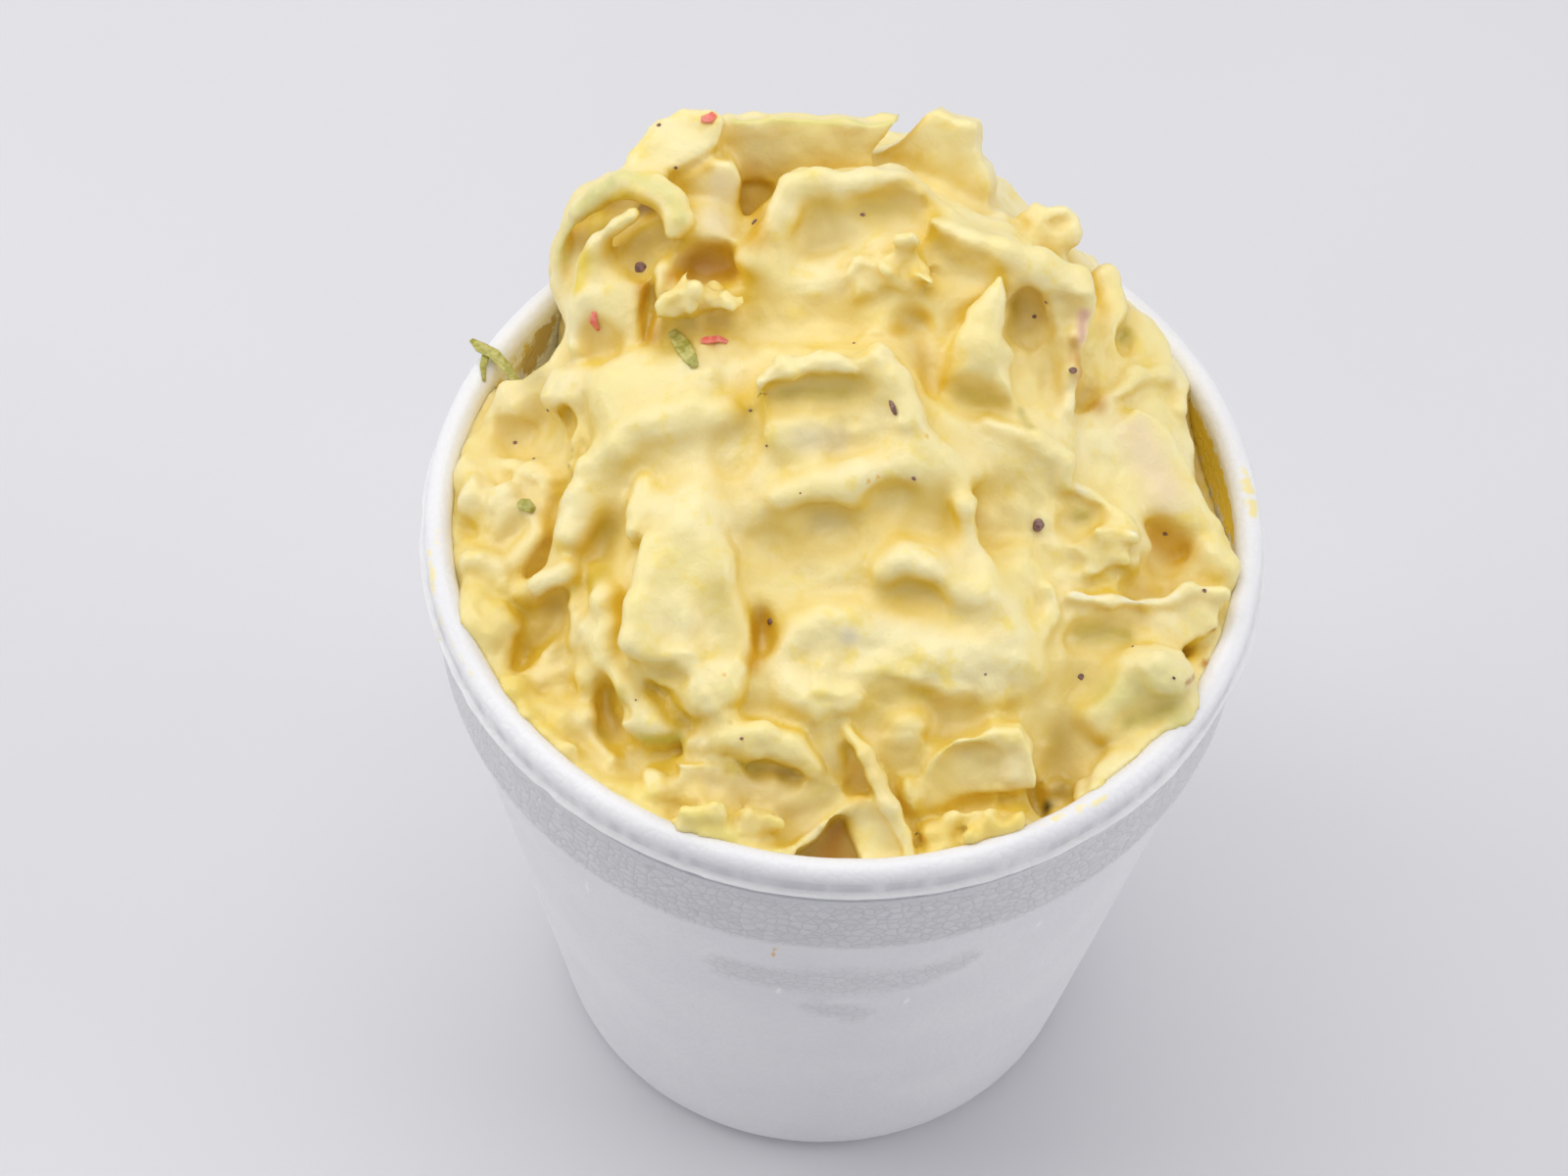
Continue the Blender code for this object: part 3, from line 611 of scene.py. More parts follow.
CENTRE = {
    "centre_plate": piece("slab", [(766, 404), (772, 386), (790, 372), (822, 362), (862, 357), (900, 350),
        (916, 358), (926, 382), (932, 412), (938, 445), (930, 472), (880, 484), (820, 480), (782, 452)],
        rise=2.2, tip=10, thick=6, soft=2.0, blend=2.0),
    "plate_lip": piece("ridge", [(774, 408, 0.2, 1.3), (781, 390, 0.5, 1.5), (806, 378, 0.7, 1.7),
        (842, 372, 0.7, 1.7), (872, 378, 0.4, 1.4)], blend=1.4),
    "under_lip": piece("dent", (836, 404), (4.4, 1.3, 1.1), turn=4, blend=2.6),
    "plate_corner": piece("ridge", [(900, 362, 0.2, 1.7), (916, 388, 0.3, 1.7), (926, 425, 0.2, 1.7),
        (938, 450, 0, 1.7)], blend=1.8),
    "plate_dip": piece("dent", (870, 452), (1.6, 3.0, 1.3), turn=8, blend=2.7),
    "plate_valley": piece("dent", (752, 440), (1.6, 4.2, 1.0), turn=-6, blend=3.7),
    "shelf": piece("ridge", [(798, 505, 0.4, 1.7), (835, 498, 0.9, 2.0), (866, 500, 0.9, 1.9),
        (884, 508, 0.3, 1.5)], blend=2.2),
    "under_shelf": piece("dent", (844, 538), (2.8, 1.7, 2.2), turn=-8, blend=3.2, out=0.1),
    "pit_floor": piece("bump", (935, 530), (5.6, 3.6, 3.0), rise=1.6, blend=2.4),
    "middle_lip": piece("ridge", [(888, 490, 0.2, 1.7), (925, 481, 0.4, 2.0), (960, 478, 0.4, 2.0),
        (982, 492, 0.3, 1.8), (988, 520, 0.3, 1.7), (994, 565, 0.3, 1.7), (1014, 612, 0.2, 1.8),
        (1036, 645, 0, 1.7)], blend=2.8),
    "pit_left": piece("dent", (911, 517), (1.8, 1.3, 1.5), blend=3.0, out=0.2),
    "pit_right": piece("dent", (944, 536), (1.8, 1.1, 1.1), turn=24, blend=3.0, out=0.2),
    "peak_body": piece("bump", (938, 592), (4.8, 3.4, 3.5), rise=1.6, turn=-8, blend=2.8),
    "peak": piece("ridge", [(904, 590, 0, 1.4), (922, 574, 0.1, 1.7), (945, 584, 0.1, 1.7),
        (968, 598, 0, 1.6), (998, 606, 0, 1.5)], blend=2.4),
    "under_peak": piece("dent", (934, 614), (2.4, 1.3, 1.2), blend=3.6, out=0.1),
    "grey_dip": piece("dent", (820, 588), (4.8, 2.8, 1.6), turn=-8, blend=4.4),
    "grey_dip_left": piece("dent", (788, 556), (1.8, 1.6, 1.4), blend=2.7),
    "broad_slope": piece("bump", (925, 678), (15, 6, 4), rise=1.4, turn=-3, blend=3.0),
    "slope_knob": piece("bump", (845, 645), (3.6, 2.6, 3.0), rise=1.9, blend=2.4),
    "slope_dip_left": piece("dent", (896, 722), (3.0, 1.8, 1.3), turn=8, blend=3.4),
    "slope_dip_right": piece("dent", (962, 734), (2.8, 1.9, 1.3), turn=-14, blend=3.4),
    "slope_lump": piece("bump", (840, 712), (5.0, 2.6, 3.0), rise=2.2, blend=2.4),
    "slope_foot": piece("bump", (925, 745), (2.4, 2.4, 2.4), rise=1.4, blend=2.0),
}
TONGUE = {
    "plateau": piece("bump", (680, 412), (9.5, 6.0, 4.0), rise=1.2, tip=14, blend=3.0),
    "knob_hollow": piece("dent", (614, 560), (2.4, 4.4, 3.4), turn=-18, blend=3.0, out=0.1),
    "plateau_edge": piece("ridge", [(745, 420, 0, 1.3), (700, 422, 0.1, 1.4), (662, 433, 0.2, 1.5),
        (634, 455, 0.4, 1.6), (602, 478, 0.6, 1.8), (588, 508, 0.7, 1.8), (583, 545, 0.5, 1.5)], blend=2.8),
    "knob": piece("ridge", [(655, 495, 0.2, 1.5), (654, 520, 1.0, 1.8), (650, 545, 1.6, 1.8)], blend=1.2),
    "beside_tongue": piece("dent", (775, 642), (1.7, 3.2, 3.0), turn=6, blend=2.0, out=0),
    "tongue": piece("slab", [(652, 575), (662, 548), (690, 530), (730, 532), (752, 560), (760, 600),
        (768, 645), (766, 685), (752, 716), (728, 735), (706, 726), (690, 700), (660, 686), (642, 668),
        (643, 640), (650, 605)], rise=4.0, tip=9, thick=9, soft=3.0, blend=1.0),
    "tongue_edge": piece("ridge", [(662, 560, 0.2, 1.4), (656, 610, 0.5, 1.7), (652, 655, 0.5, 1.9)]),
    "tongue_top": piece("bump", (704, 532), (4.4, 3.6, 3.6), rise=3.4, blend=3.0),
    "tongue_lip": piece("bump", (690, 662), (3.8, 1.7, 2.8), rise=5.4, blend=0.9),
    "under_tongue_lip": piece("dent", (678, 688), (2.6, 0.8, 1.1), turn=-8, blend=1.6, out=0.2),
    "tongue_side": piece("dent", (738, 628), (2.0, 3.4, 1.4), blend=3.1),
    "tongue_foot": piece("bump", (724, 708), (3.0, 3.0, 3.0), rise=4.2, blend=1.4),
    "second_knob": piece("ridge", [(612, 592, 0, 1.3), (617, 616, 0.9, 1.8), (625, 640, 0.8, 1.7)],
        blend=1.3),
}
LEFT_SIDE = {
    "field_dip": piece("dent", (545, 545), (4.5, 6.0, 0.7), turn=-4, blend=4.0),
    "field_brow": piece("bump", (532, 422), (4.2, 2.4, 3.0), rise=0.9, turn=16, blend=2.8),
    "field_shoulder": piece("bump", (600, 400), (5.0, 3.2, 3.0), rise=0.8, turn=8, blend=2.4),
    "brow_hollow": piece("dent", (513, 452), (2.6, 1.5, 0.7), turn=10, blend=4.0),
    "slot_dent": piece("dent", (575, 434), (0.6, 1.7, 1.6), blend=0.7),
    "wall_lump_a": piece("bump", (482, 492), (1.8, 2.0, 1.8), height=-1.8, blend=1.2),
    "field_lump_a": piece("ridge", [(505, 478, 0.3, 1.5), (540, 486, 0.5, 1.7), (560, 500, 0.3, 1.5)]),
    "field_lump_b": piece("ridge", [(500, 530, 0.1, 1.2), (525, 518, 0.3, 1.4), (548, 530, 0.3, 1.4)],
        blend=1.4),
    "field_lump_c": piece("ridge", [(512, 588, 0.3, 1.2), (532, 572, 0.5, 1.4), (552, 548, 0.4, 1.3)],
        blend=1.4),
    "field_lump_d": piece("ridge", [(528, 606, 0.1, 1.2), (552, 598, 0.7, 1.6), (575, 590, 0.7, 1.5)],
        blend=1.4),
    "brown_hollow": piece("dent", (564, 636), (1.5, 3.2, 2.6), turn=-10),
    "skin_below": piece("ridge", [(585, 620, 0.2, 1.3), (592, 655, 0.3, 1.4), (600, 680, 0, 1.2)],
        blend=1.2),
    "drape": piece("ridge", [(598, 640, 0.2, 1.5), (622, 668, 0.6, 2.0), (642, 700, 0.8, 2.2),
        (650, 730, 0.9, 2.2)], blend=1.8),
    "drape_lobe": piece("bump", (666, 735), (3.6, 3.0, 3.6), rise=3.2, turn=-20, blend=1.4),
    "drape_nick": piece("dent", (640, 722), (0.7, 0.9, 1.0), blend=0.8),
    "drape_hollow": piece("dent", (622, 722), (1.4, 3.0, 3.0), turn=14, blend=2.0),
    "drape_under": piece("dent", (688, 764), (2.6, 0.9, 2.0), turn=10, blend=1.5),
    "low_strand_a": piece("ridge", [(612, 690, 0.1, 0.9), (602, 712, 0.4, 1.2), (594, 735, 0.2, 1.0)],
        blend=1.0),
    "low_strand_b": piece("ridge", [(575, 700, 0.1, 1.0), (592, 745, 0.3, 1.3), (625, 775, 0.2, 1.2)],
        blend=1.2),
    "wall_lumps": piece("crumbs", (496, 560), (20, 110), count=14, size=(1.2, 2.2), seed=6, blend=2.2),
    "low_lumps": piece("crumbs", (565, 715), (42, 60), count=14, size=(0.9, 1.8), seed=12, lift=-0.1,
        blend=1.6),
}
FRONT = {
    "front_face": piece("slab", [(686, 776), (730, 776), (780, 785), (830, 790), (862, 800), (866, 822),
        (850, 836), (836, 856), (806, 876), (768, 866), (734, 848), (704, 826), (684, 802)], rise=1.0,
        tip=-10, thick=4.5, soft=0.9, blend=1.2),
    "under_front_block": piece("dent", (792, 787), (3.0, 1.1, 1.2), turn=-6, out=0.2),
    "front_block": piece("ridge", [(714, 758, 0.5, 1.9), (742, 750, 0.9, 2.3), (775, 752, 1.0, 2.3),
        (804, 762, 1.0, 2.0), (820, 775, 1.1, 1.4), (829, 786, 1.2, 1.0)], blend=1.1),
    "front_bright_edge": piece("ridge", [(796, 874, 0.2, 0.9), (824, 864, 0.5, 1.0), (843, 846, 0.5, 1.0),
        (856, 830, 0.3, 0.9)], blend=0.9),
    "front_lump_a": piece("bump", (668, 798), (1.9, 2.2, 2.4), rise=3.0, blend=1.0),
    "front_lump_b": piece("bump", (719, 822), (3.0, 1.8, 2.4), rise=2.8, turn=-22, blend=1.1),
    "front_lump_c": piece("bump", (694, 805), (1.8, 1.6, 2.0), rise=2.4, blend=1.1),
    "front_lump_d": piece("bump", (756, 846), (1.6, 1.5, 2.2), rise=1.9, blend=1.2),
    "front_lump_e": piece("bump", (783, 850), (1.6, 1.4, 2.2), rise=1.7, blend=1.2),
    "front_crumbs": piece("crumbs", (742, 838), (56, 15), count=24, size=(0.7, 1.2), seed=21),
    "front_gap": piece("notch", [(850, 838), (860, 838), (868, 856), (882, 896), (796, 896), (806, 876),
        (832, 858)], depth=2.8, blend=0.6),
    "front_cheek": piece("slab", [(862, 812), (884, 800), (902, 815), (918, 850), (926, 884), (884, 886),
        (872, 858), (860, 834)], rise=1.4, tip=-14, lean=-10, thick=4, soft=1.3, blend=1.0),
    "strand": piece("ridge", [(866, 748, 0.4, 0.9), (880, 772, 1.0, 1.2), (896, 800, 1.3, 1.3),
        (910, 828, 1.2, 1.2), (921, 852, 1.0, 1.0), (928, 876, 0.8, 0.8)], blend=0.7),
    "strand_pocket": piece("notch", [(868, 768), (876, 784), (890, 812), (868, 808), (863, 790)], depth=0.9,
        blend=1.8),
    "strand_lobe": piece("bump", (929, 812), (1.0, 2.2, 1.6), rise=2.2, turn=8, blend=0.8),
    "front_right_block": piece("slab", [(936, 800), (950, 774), (972, 756), (996, 752), (1014, 740),
        (1046, 742), (1056, 765), (1061, 808), (1040, 816), (1008, 820), (985, 814), (958, 824), (932, 832),
        (930, 812)], rise=2.6, tip=-14, lean=4, thick=7, soft=0.9, blend=1.1),
    "block_facet": piece("dent", (990, 785), (3.4, 2.4, 0.9), turn=14, blend=1.5),
    "yolk_chunk": piece("bump", (992, 846), (6.8, 2.4, 3.0), rise=0.9, turn=8, blend=1.0),
    "yolk_crumbs": piece("crumbs", (990, 842), (54, 13), count=24, size=(0.6, 1.1), seed=22, lift=0.1),
    "right_front_gap": piece("dent", (1084, 782), (2.6, 4.6, 3.2), turn=-8, blend=2.5),
    "rim_crumbs": piece("crumbs", (1098, 806), (34, 7), count=10, size=(0.6, 1.1), seed=23),
}
REGIONS = (UPPER_LEFT, TOP, UPPER_RIGHT, CENTRE, RIGHT_SIDE, TONGUE, LEFT_SIDE, FRONT)


# From field to mesh

def surface_net(field):
    """One point in each grid cell that the surface crosses, and a quad across each crossed grid line."""
    values = field.values
    inside = values < 0
    count = np.array(values.shape)
    corners = [np.array(corner) for corner in itertools.product((0, 1), repeat=3)]

    def shifted(grid, corner):
        return grid[tuple(slice(step, size - 1 + step) for step, size in zip(corner, count))]

    filled = sum(shifted(inside, corner).astype(np.int8) for corner in corners)
    cells = np.argwhere((filled > 0) & (filled < 8))
    number = np.full(count - 1, -1, np.int32)
    number[tuple(cells.T)] = np.arange(len(cells))
    at_corners = np.stack([values[tuple((cells + corner).T)] for corner in corners], 1)
    total = np.zeros((len(cells), 3))
    hits = np.zeros(len(cells))
    for first in range(8):
        for second in range(first + 1, 8):
            way = corners[second] - corners[first]
            if np.abs(way).sum() != 1:
                continue
            near, far = at_corners[:, first], at_corners[:, second]
            crossed = (near < 0) != (far < 0)
            share = np.where(crossed, near / np.where(crossed, near - far, 1), 0)
            total += (corners[first] + share[:, None] * way) * crossed[:, None]
            hits += crossed
    points = field.low + (cells + total / hits[:, None]) * field.step
    quads = []
    for axis in range(3):
        others = [other for other in range(3) if other != axis]
        before, after = [slice(None)] * 3, [slice(None)] * 3
        before[axis], after[axis] = slice(0, count[axis] - 1), slice(1, count[axis])
        for other in others:
            before[other] = after[other] = slice(1, count[other] - 1)
        start, end = inside[tuple(before)], inside[tuple(after)]
        lines = np.argwhere(start != end)
        outward = start[tuple(lines.T)] if axis != 1 else ~start[tuple(lines.T)]
        lines[:, others] += 1
        ring = []
        for first, second in ((0, 0), (-1, 0), (-1, -1), (0, -1)):
            cell = lines.copy()
            cell[:, others[0]] += first
            cell[:, others[1]] += second
            ring.append(number[tuple(cell.T)])
        quad = np.stack(ring, 1)
        quad[~outward] = quad[~outward][:, ::-1]
        quads.append(quad)
    return points, np.concatenate(quads)


def lattice_noise(points, size, seed):
    """Smooth random values between -1 and 1, with lumps of one size."""
    period = 61
    lattice = np.random.default_rng(seed).uniform(-1, 1, (period, period, period))
    place = points / size + 1000
    corner = np.floor(place).astype(int)
    share = place - corner
    share = share * share * (3 - 2 * share)
    return between_corners(share, lambda step: lattice[tuple(((corner + step) % period).T)])


def rounded_lumps(points, size, seed):
    """Rounded lumps side by side: 1 on their tops, falling to the creases between them."""
    period, crease, reach = 31, 10, 0.7
    middles = np.random.default_rng(seed).uniform(0.1, 0.9, (period, period, period, 3))
    place = points / size + 500
    cell = np.floor(place).astype(int)
    total = 0
    for step in itertools.product((-1, 0, 1), repeat=3):
        near = cell + step
        away = np.linalg.norm(place - near - middles[tuple((near % period).T)], axis=1)
        total = total + np.exp(-crease * away)
    return 1 + np.log(total) / crease / reach


def new_mesh(name, points, faces):
    """Object from points in millimetres and faces."""
    mesh = bpy.data.meshes.new(name)
    mesh.from_pydata((np.asarray(points) * MM).tolist(), [], [list(face) for face in faces])
    mesh.validate()
    mesh.shade_smooth()
    made = bpy.data.objects.new(name, mesh)
    bpy.context.scene.collection.objects.link(made)
    return made


def add_values(made, name, values):
    """Number or colour at each vertex, for the material."""
    values = np.asarray(values, np.float32)
    if values.ndim == 1:
        made.data.attributes.new(name, "FLOAT", "POINT").data.foreach_set("value", values)
    else:
        made.data.attributes.new(name, "FLOAT_COLOR", "POINT").data.foreach_set("color", values.ravel())


def fine_quads(quads, points):
    """Faces as triangles, split along the shorter diagonal."""
    across = np.linalg.norm(points[quads[:, 0]] - points[quads[:, 2]], axis=1)
    other = np.linalg.norm(points[quads[:, 1]] - points[quads[:, 3]], axis=1)
    first = across <= other
    a, b, c, d = quads.T
    left = np.where(first[:, None], np.stack([a, b, c], 1), np.stack([a, b, d], 1))
    right = np.where(first[:, None], np.stack([a, c, d], 1), np.stack([b, c, d], 1))
    return np.concatenate([left, right])


def keep_inside(field):
    """Stay clear of the cup's wall and lip."""
    x, y, z = np.meshgrid(*field.lines, indexing="ij", sparse=True)
    radius = np.sqrt(x * x + y * y)
    lip_x, lip_z = RIM_RADIUS - LIP_WIDTH / 2, RIM_Z - LIP_WIDTH / 2
    wall = radius - (inner_radius(np.minimum(z, lip_z)) - GAP)
    lip = LIP_WIDTH / 2 + GAP - np.sqrt((radius - lip_x) ** 2 + (z - lip_z) ** 2)
    above = np.maximum(RIM_Z + GAP - z, radius - RIM_RADIUS + EDGE_MARGIN)
    over = np.where(z < lip_z, wall, np.where(radius < lip_x, lip, above))
    field.values = np.maximum(field.values, over.astype(np.float32))


def close_below(points, faces):
    """Carry the open lower edge down along the wall to the cup's floor, and close the salad there."""
    edges = np.sort(np.concatenate([faces[:, [0, 1]], faces[:, [1, 2]], faces[:, [2, 0]]]), axis=1)
    edges, uses = np.unique(edges, axis=0, return_counts=True)
    ring = np.unique(edges[uses == 1])
    ring = ring[np.argsort(np.arctan2(points[ring, 1], points[ring, 0]))]
    around = points[ring] / np.hypot(points[ring, 0], points[ring, 1])[:, None]
    rows = [ring]
    for height in (*INNER_RINGS, FLOOR_TOP + FLOOR_ROUND + GAP):
        rows.append(len(points) + np.arange(len(ring)))
        lower = around * (inner_radius(height) - GAP)
        lower[:, 2] = height
        points = np.concatenate([points, lower])
    strips = []
    for high, low in zip(rows, rows[1:]):
        strips += np.stack([high, low, np.roll(low, -1), np.roll(high, -1)], 1).tolist()
    return points, [*faces.tolist(), *strips, rows[-1][::-1].tolist()]


# The cup

CUP_STEPS = 512

# Rings round the outside: height of the middle, how far it fades up and down, radius that it lies beyond
# Painted shade on the steep outer side of the lip, in streaks
LIP_SIDE_SHADE = (LIP_BOTTOM + 1.75, 0.75, RIM_RADIUS - 1.0)
# Painted highlight along the mould line
MOULD_LINE_HIGHLIGHT = (LIP_BOTTOM + 0.5, 0.4, RIM_RADIUS - 0.8)
MOULD_EDGE = (LIP_BOTTOM + 0.5, 0.45, RIM_RADIUS - 1.0)
# Lighter lines along the edges of ledge and band
LEDGE_EDGE = (GROOVE_BOTTOM - 0.2, 0.2, 45.0)
BAND_EDGE = (BAND_BOTTOM + 0.1, 0.25, 40.0)

# Stretches of the outside: lowest and highest, radius that they lie beyond
BAND = (BAND_BOTTOM - 0.4, LIP_BOTTOM, 42.0)
# Painted shade in the groove under the lip
GROOVE_SHADE = (GROOVE_BOTTOM - 0.3, LIP_BOTTOM + 0.3, 44.0)

# Stains and painted shade of the inner wall: where they end below the rim, how far they fade, radius that
# they lie inside
WALL_PAINT_TOP = RIM_Z - 1.6
WALL_PAINT_FADE = 1.2
WALL_PAINT_RADIUS = 44.2

# Unevenness of the moulded foam: height and nicks of the mould line, depth of the dimples in lip and body
MOULD_WANDER = 0.3
MOULD_NICKS = 0.5
LIP_DIMPLES = 0.05
BODY_DIMPLES = 0.04

# Radius of the small face that closes the floor and the underside in the middle
CAP_RADIUS = 0.6

# How much the foam's beads show on the plain body and on its patch
BODY_BEADS = 0.12
PATCH_BEADS = 0.75


def ring_round(points, middle, fade, beyond):
    """1 at a height of the outside, and less above and below."""
    radius = np.hypot(points[:, 0], points[:, 1])
    return np.exp(-((points[:, 2] - middle) / fade) ** 2) * (radius > beyond)


def stretch_of(points, lowest, highest, beyond):
    """Which points lie between two heights of the outside."""
    radius = np.hypot(points[:, 0], points[:, 1])
    return (points[:, 2] > lowest) & (points[:, 2] < highest) & (radius > beyond)


def arc(centre, radius, start, end, steps):
    """Points of an arc in the profile's plane, angles in degrees from the outward direction."""
    angles = np.radians(np.linspace(start, end, steps + 1))
    return [(centre[0] + radius * math.cos(a), centre[1] + radius * math.sin(a)) for a in angles]


def run(start, end, steps):
    """Points of a straight run, without its last."""
    return [tuple(np.array(start) + (np.array(end) - start) * step / steps) for step in range(steps)]


def cup_profile():
    """Half section of the cup from the underside's middle, up the outside, over the lip and down inside."""
    foot = BASE_RADIUS - BASE_ROUND - FOOT_WIDTH
    lip_z = RIM_Z - LIP_WIDTH / 2
    bead = (LIP_WIDTH - FLASH) / 2
    body_top = (BAND_RADIUS - BAND_STEP, BAND_BOTTOM - 0.5)
    corner = arc((BASE_RADIUS - BASE_ROUND, BASE_ROUND), BASE_ROUND, -90, -10, 10)
    points = run((CAP_RADIUS, RECESS_DEPTH), (foot - FOOT_SLANT, RECESS_DEPTH), 10)
    points += run((foot - FOOT_SLANT, RECESS_DEPTH), (foot, 0.0), 3)
    points += run((foot, 0.0), corner[0], 3)
    points += corner[:-1]
    points += run(corner[-1], body_top, 34)
    points += [body_top, (BAND_RADIUS - 0.25, BAND_BOTTOM - 0.25)]
    points += run((BAND_RADIUS, BAND_BOTTOM + 0.1), (LEDGE_RADIUS - 0.15, GROOVE_BOTTOM - 0.5), 12)
    points += [(LEDGE_RADIUS, GROOVE_BOTTOM - 0.2), (LEDGE_RADIUS - 0.15, GROOVE_BOTTOM)]
    points += arc((GROOVE_RADIUS + 0.5, LIP_BOTTOM - 0.95), 0.75, 215, 145, 4)
    points += [(RIM_RADIUS - 0.7, LIP_BOTTOM), (RIM_RADIUS - 0.2, LIP_BOTTOM + 0.15)]
    points += [(RIM_RADIUS, LIP_BOTTOM + 0.35), (RIM_RADIUS - 0.04, LIP_BOTTOM + 0.6)]
    points += [(RIM_RADIUS - FLASH, LIP_BOTTOM + 0.8), (RIM_RADIUS - FLASH - 0.05, LIP_BOTTOM + 1.2)]
    points += arc((RIM_RADIUS - FLASH - bead, RIM_Z - bead), bead, 0, 180, 20)
    inner_foot = (inner_radius(FLOOR_TOP + FLOOR_ROUND), FLOOR_TOP + FLOOR_ROUND)
    inner_middle = (inner_radius(RIM_Z - 18), RIM_Z - 18)
    points += run((inner_radius(lip_z) - 0.03, lip_z - 0.3), inner_middle, 24)
    points += run(inner_middle, inner_foot, 10)
    points.append(inner_foot)
    points += run((inner_radius(FLOOR_TOP) - FLOOR_ROUND, FLOOR_TOP), (CAP_RADIUS, FLOOR_TOP), 8)
    points.append((CAP_RADIUS, FLOOR_TOP))
    return np.array(points)


def cup_points():
    """Rings of the cup, with the moulded lip's slight unevenness."""
    profile = cup_profile()
    angles = 2 * np.pi * np.arange(CUP_STEPS) / CUP_STEPS
    points = np.zeros((len(profile), CUP_STEPS, 3))
    points[:, :, 0] = profile[:, :1] * np.cos(angles)
    points[:, :, 1] = profile[:, :1] * np.sin(angles)
    points[:, :, 2] = profile[:, 1:]
    flat = points.reshape(-1, 3)
    radius = np.hypot(flat[:, 0], flat[:, 1])
    outward = flat * (1, 1, 0) / radius[:, None]
    near_flash = ring_round(flat, *MOULD_EDGE)
    wander = lattice_noise(flat, 7.0, 3) * 0.5 + lattice_noise(flat, 2.4, 4) * 0.5
    flat[:, 2] += near_flash * wander * MOULD_WANDER
    flat -= outward * (near_flash * np.maximum(-wander, 0) * MOULD_NICKS)[:, None]
    lip = flat[:, 2] > LIP_BOTTOM + 0.6
    flat -= outward * (lip * (lattice_noise(flat, 1.9, 5) + 1) * LIP_DIMPLES)[:, None]
    outside = (radius > 30) & (radius > inner_radius(flat[:, 2]) + 1.5) & (flat[:, 2] > 2) & ~lip
    flat -= outward * (outside * (lattice_noise(flat, 1.6, 6) + 1) * BODY_DIMPLES)[:, None]
    return profile, flat


def cup_mesh():
    profile, points = cup_points()
    rows = len(profile)
    faces = []
    for row in range(rows - 1):
        low, high = row * CUP_STEPS, (row + 1) * CUP_STEPS
        for step in range(CUP_STEPS):
            ahead = (step + 1) % CUP_STEPS
            faces.append((low + step, low + ahead, high + ahead, high + step))
    faces.append(tuple(range(CUP_STEPS))[::-1])
    faces.append(tuple((rows - 1) * CUP_STEPS + step for step in range(CUP_STEPS)))
    return new_mesh("cup_shell", points, faces), points


# Materials

def make_node(tree, kind, inputs=None, **settings):
    """Node with its settings, its inputs given as values or as sockets to link."""
    node = tree.nodes.new(kind)
    for key, value in settings.items():
        setattr(node, key, value)
    for key, value in (inputs or {}).items():
        if isinstance(value, bpy.types.NodeSocket):
            tree.links.new(value, node.inputs[key])
        else:
            node.inputs[key].default_value = value
    return node


def mix(tree, factor, first, second):
    """Colour mix. Sockets 6 and 7 of a Mix node are its colours, and output 2 is the result."""
    return make_node(tree, "ShaderNodeMix", {0: factor, 6: first, 7: second}, data_type="RGBA").outputs[2]


def ramp(tree, value, low, high, to_low=0.0, to_high=1.0):
    """Smooth step of a value between two levels."""
    return make_node(tree, "ShaderNodeMapRange", {"Value": value, "From Min": low, "From Max": high,
                     "To Min": to_low, "To Max": to_high}, interpolation_type="SMOOTHSTEP").outputs[0]


def calculate(tree, operation, first, second=0.0):
    return make_node(tree, "ShaderNodeMath", {0: first, 1: second}, operation=operation).outputs[0]


def noise_of(tree, place, size_mm, detail=2.0, roughness=0.5):
    """Cloudy noise with lumps of a size in millimetres."""
    inputs = {"Vector": place, "Scale": 1 / MM / size_mm, "Detail": detail, "Roughness": roughness}
    return make_node(tree, "ShaderNodeTexNoise", inputs).outputs["Fac"]


def start_material(name, colour):
    material = bpy.data.materials.new(name)
    material.use_nodes = True
    material.diffuse_color = (*colour, 1)
    tree = material.node_tree
    shader = tree.nodes["Principled BSDF"]
    place = make_node(tree, "ShaderNodeTexCoord").outputs["Object"]
    return material, tree, shader, place


def attribute(tree, name):
    return make_node(tree, "ShaderNodeAttribute", attribute_name=name)


def finish_surface(tree, shader, colour, height, strength, distance, values):
    """Link the colour and a fine relief to the shader, and set its plain values."""
    tree.links.new(colour, shader.inputs["Base Color"])
    bump = make_node(tree, "ShaderNodeBump", {"Height": height, "Strength": strength, "Distance": distance})
    tree.links.new(bump.outputs[0], shader.inputs["Normal"])
    for key, value in values.items():
        shader.inputs[key].default_value = value


CREAM = (0.94, 0.80, 0.36, 1)
CREAM_PALE = (0.95, 0.83, 0.46, 1)
CREAM_YELLOW = (0.92, 0.75, 0.23, 1)
# Deep gold of the painted shade in hollows, in creases and on steep faces
SHADE_GOLD = (0.78, 0.54, 0.05, 1)


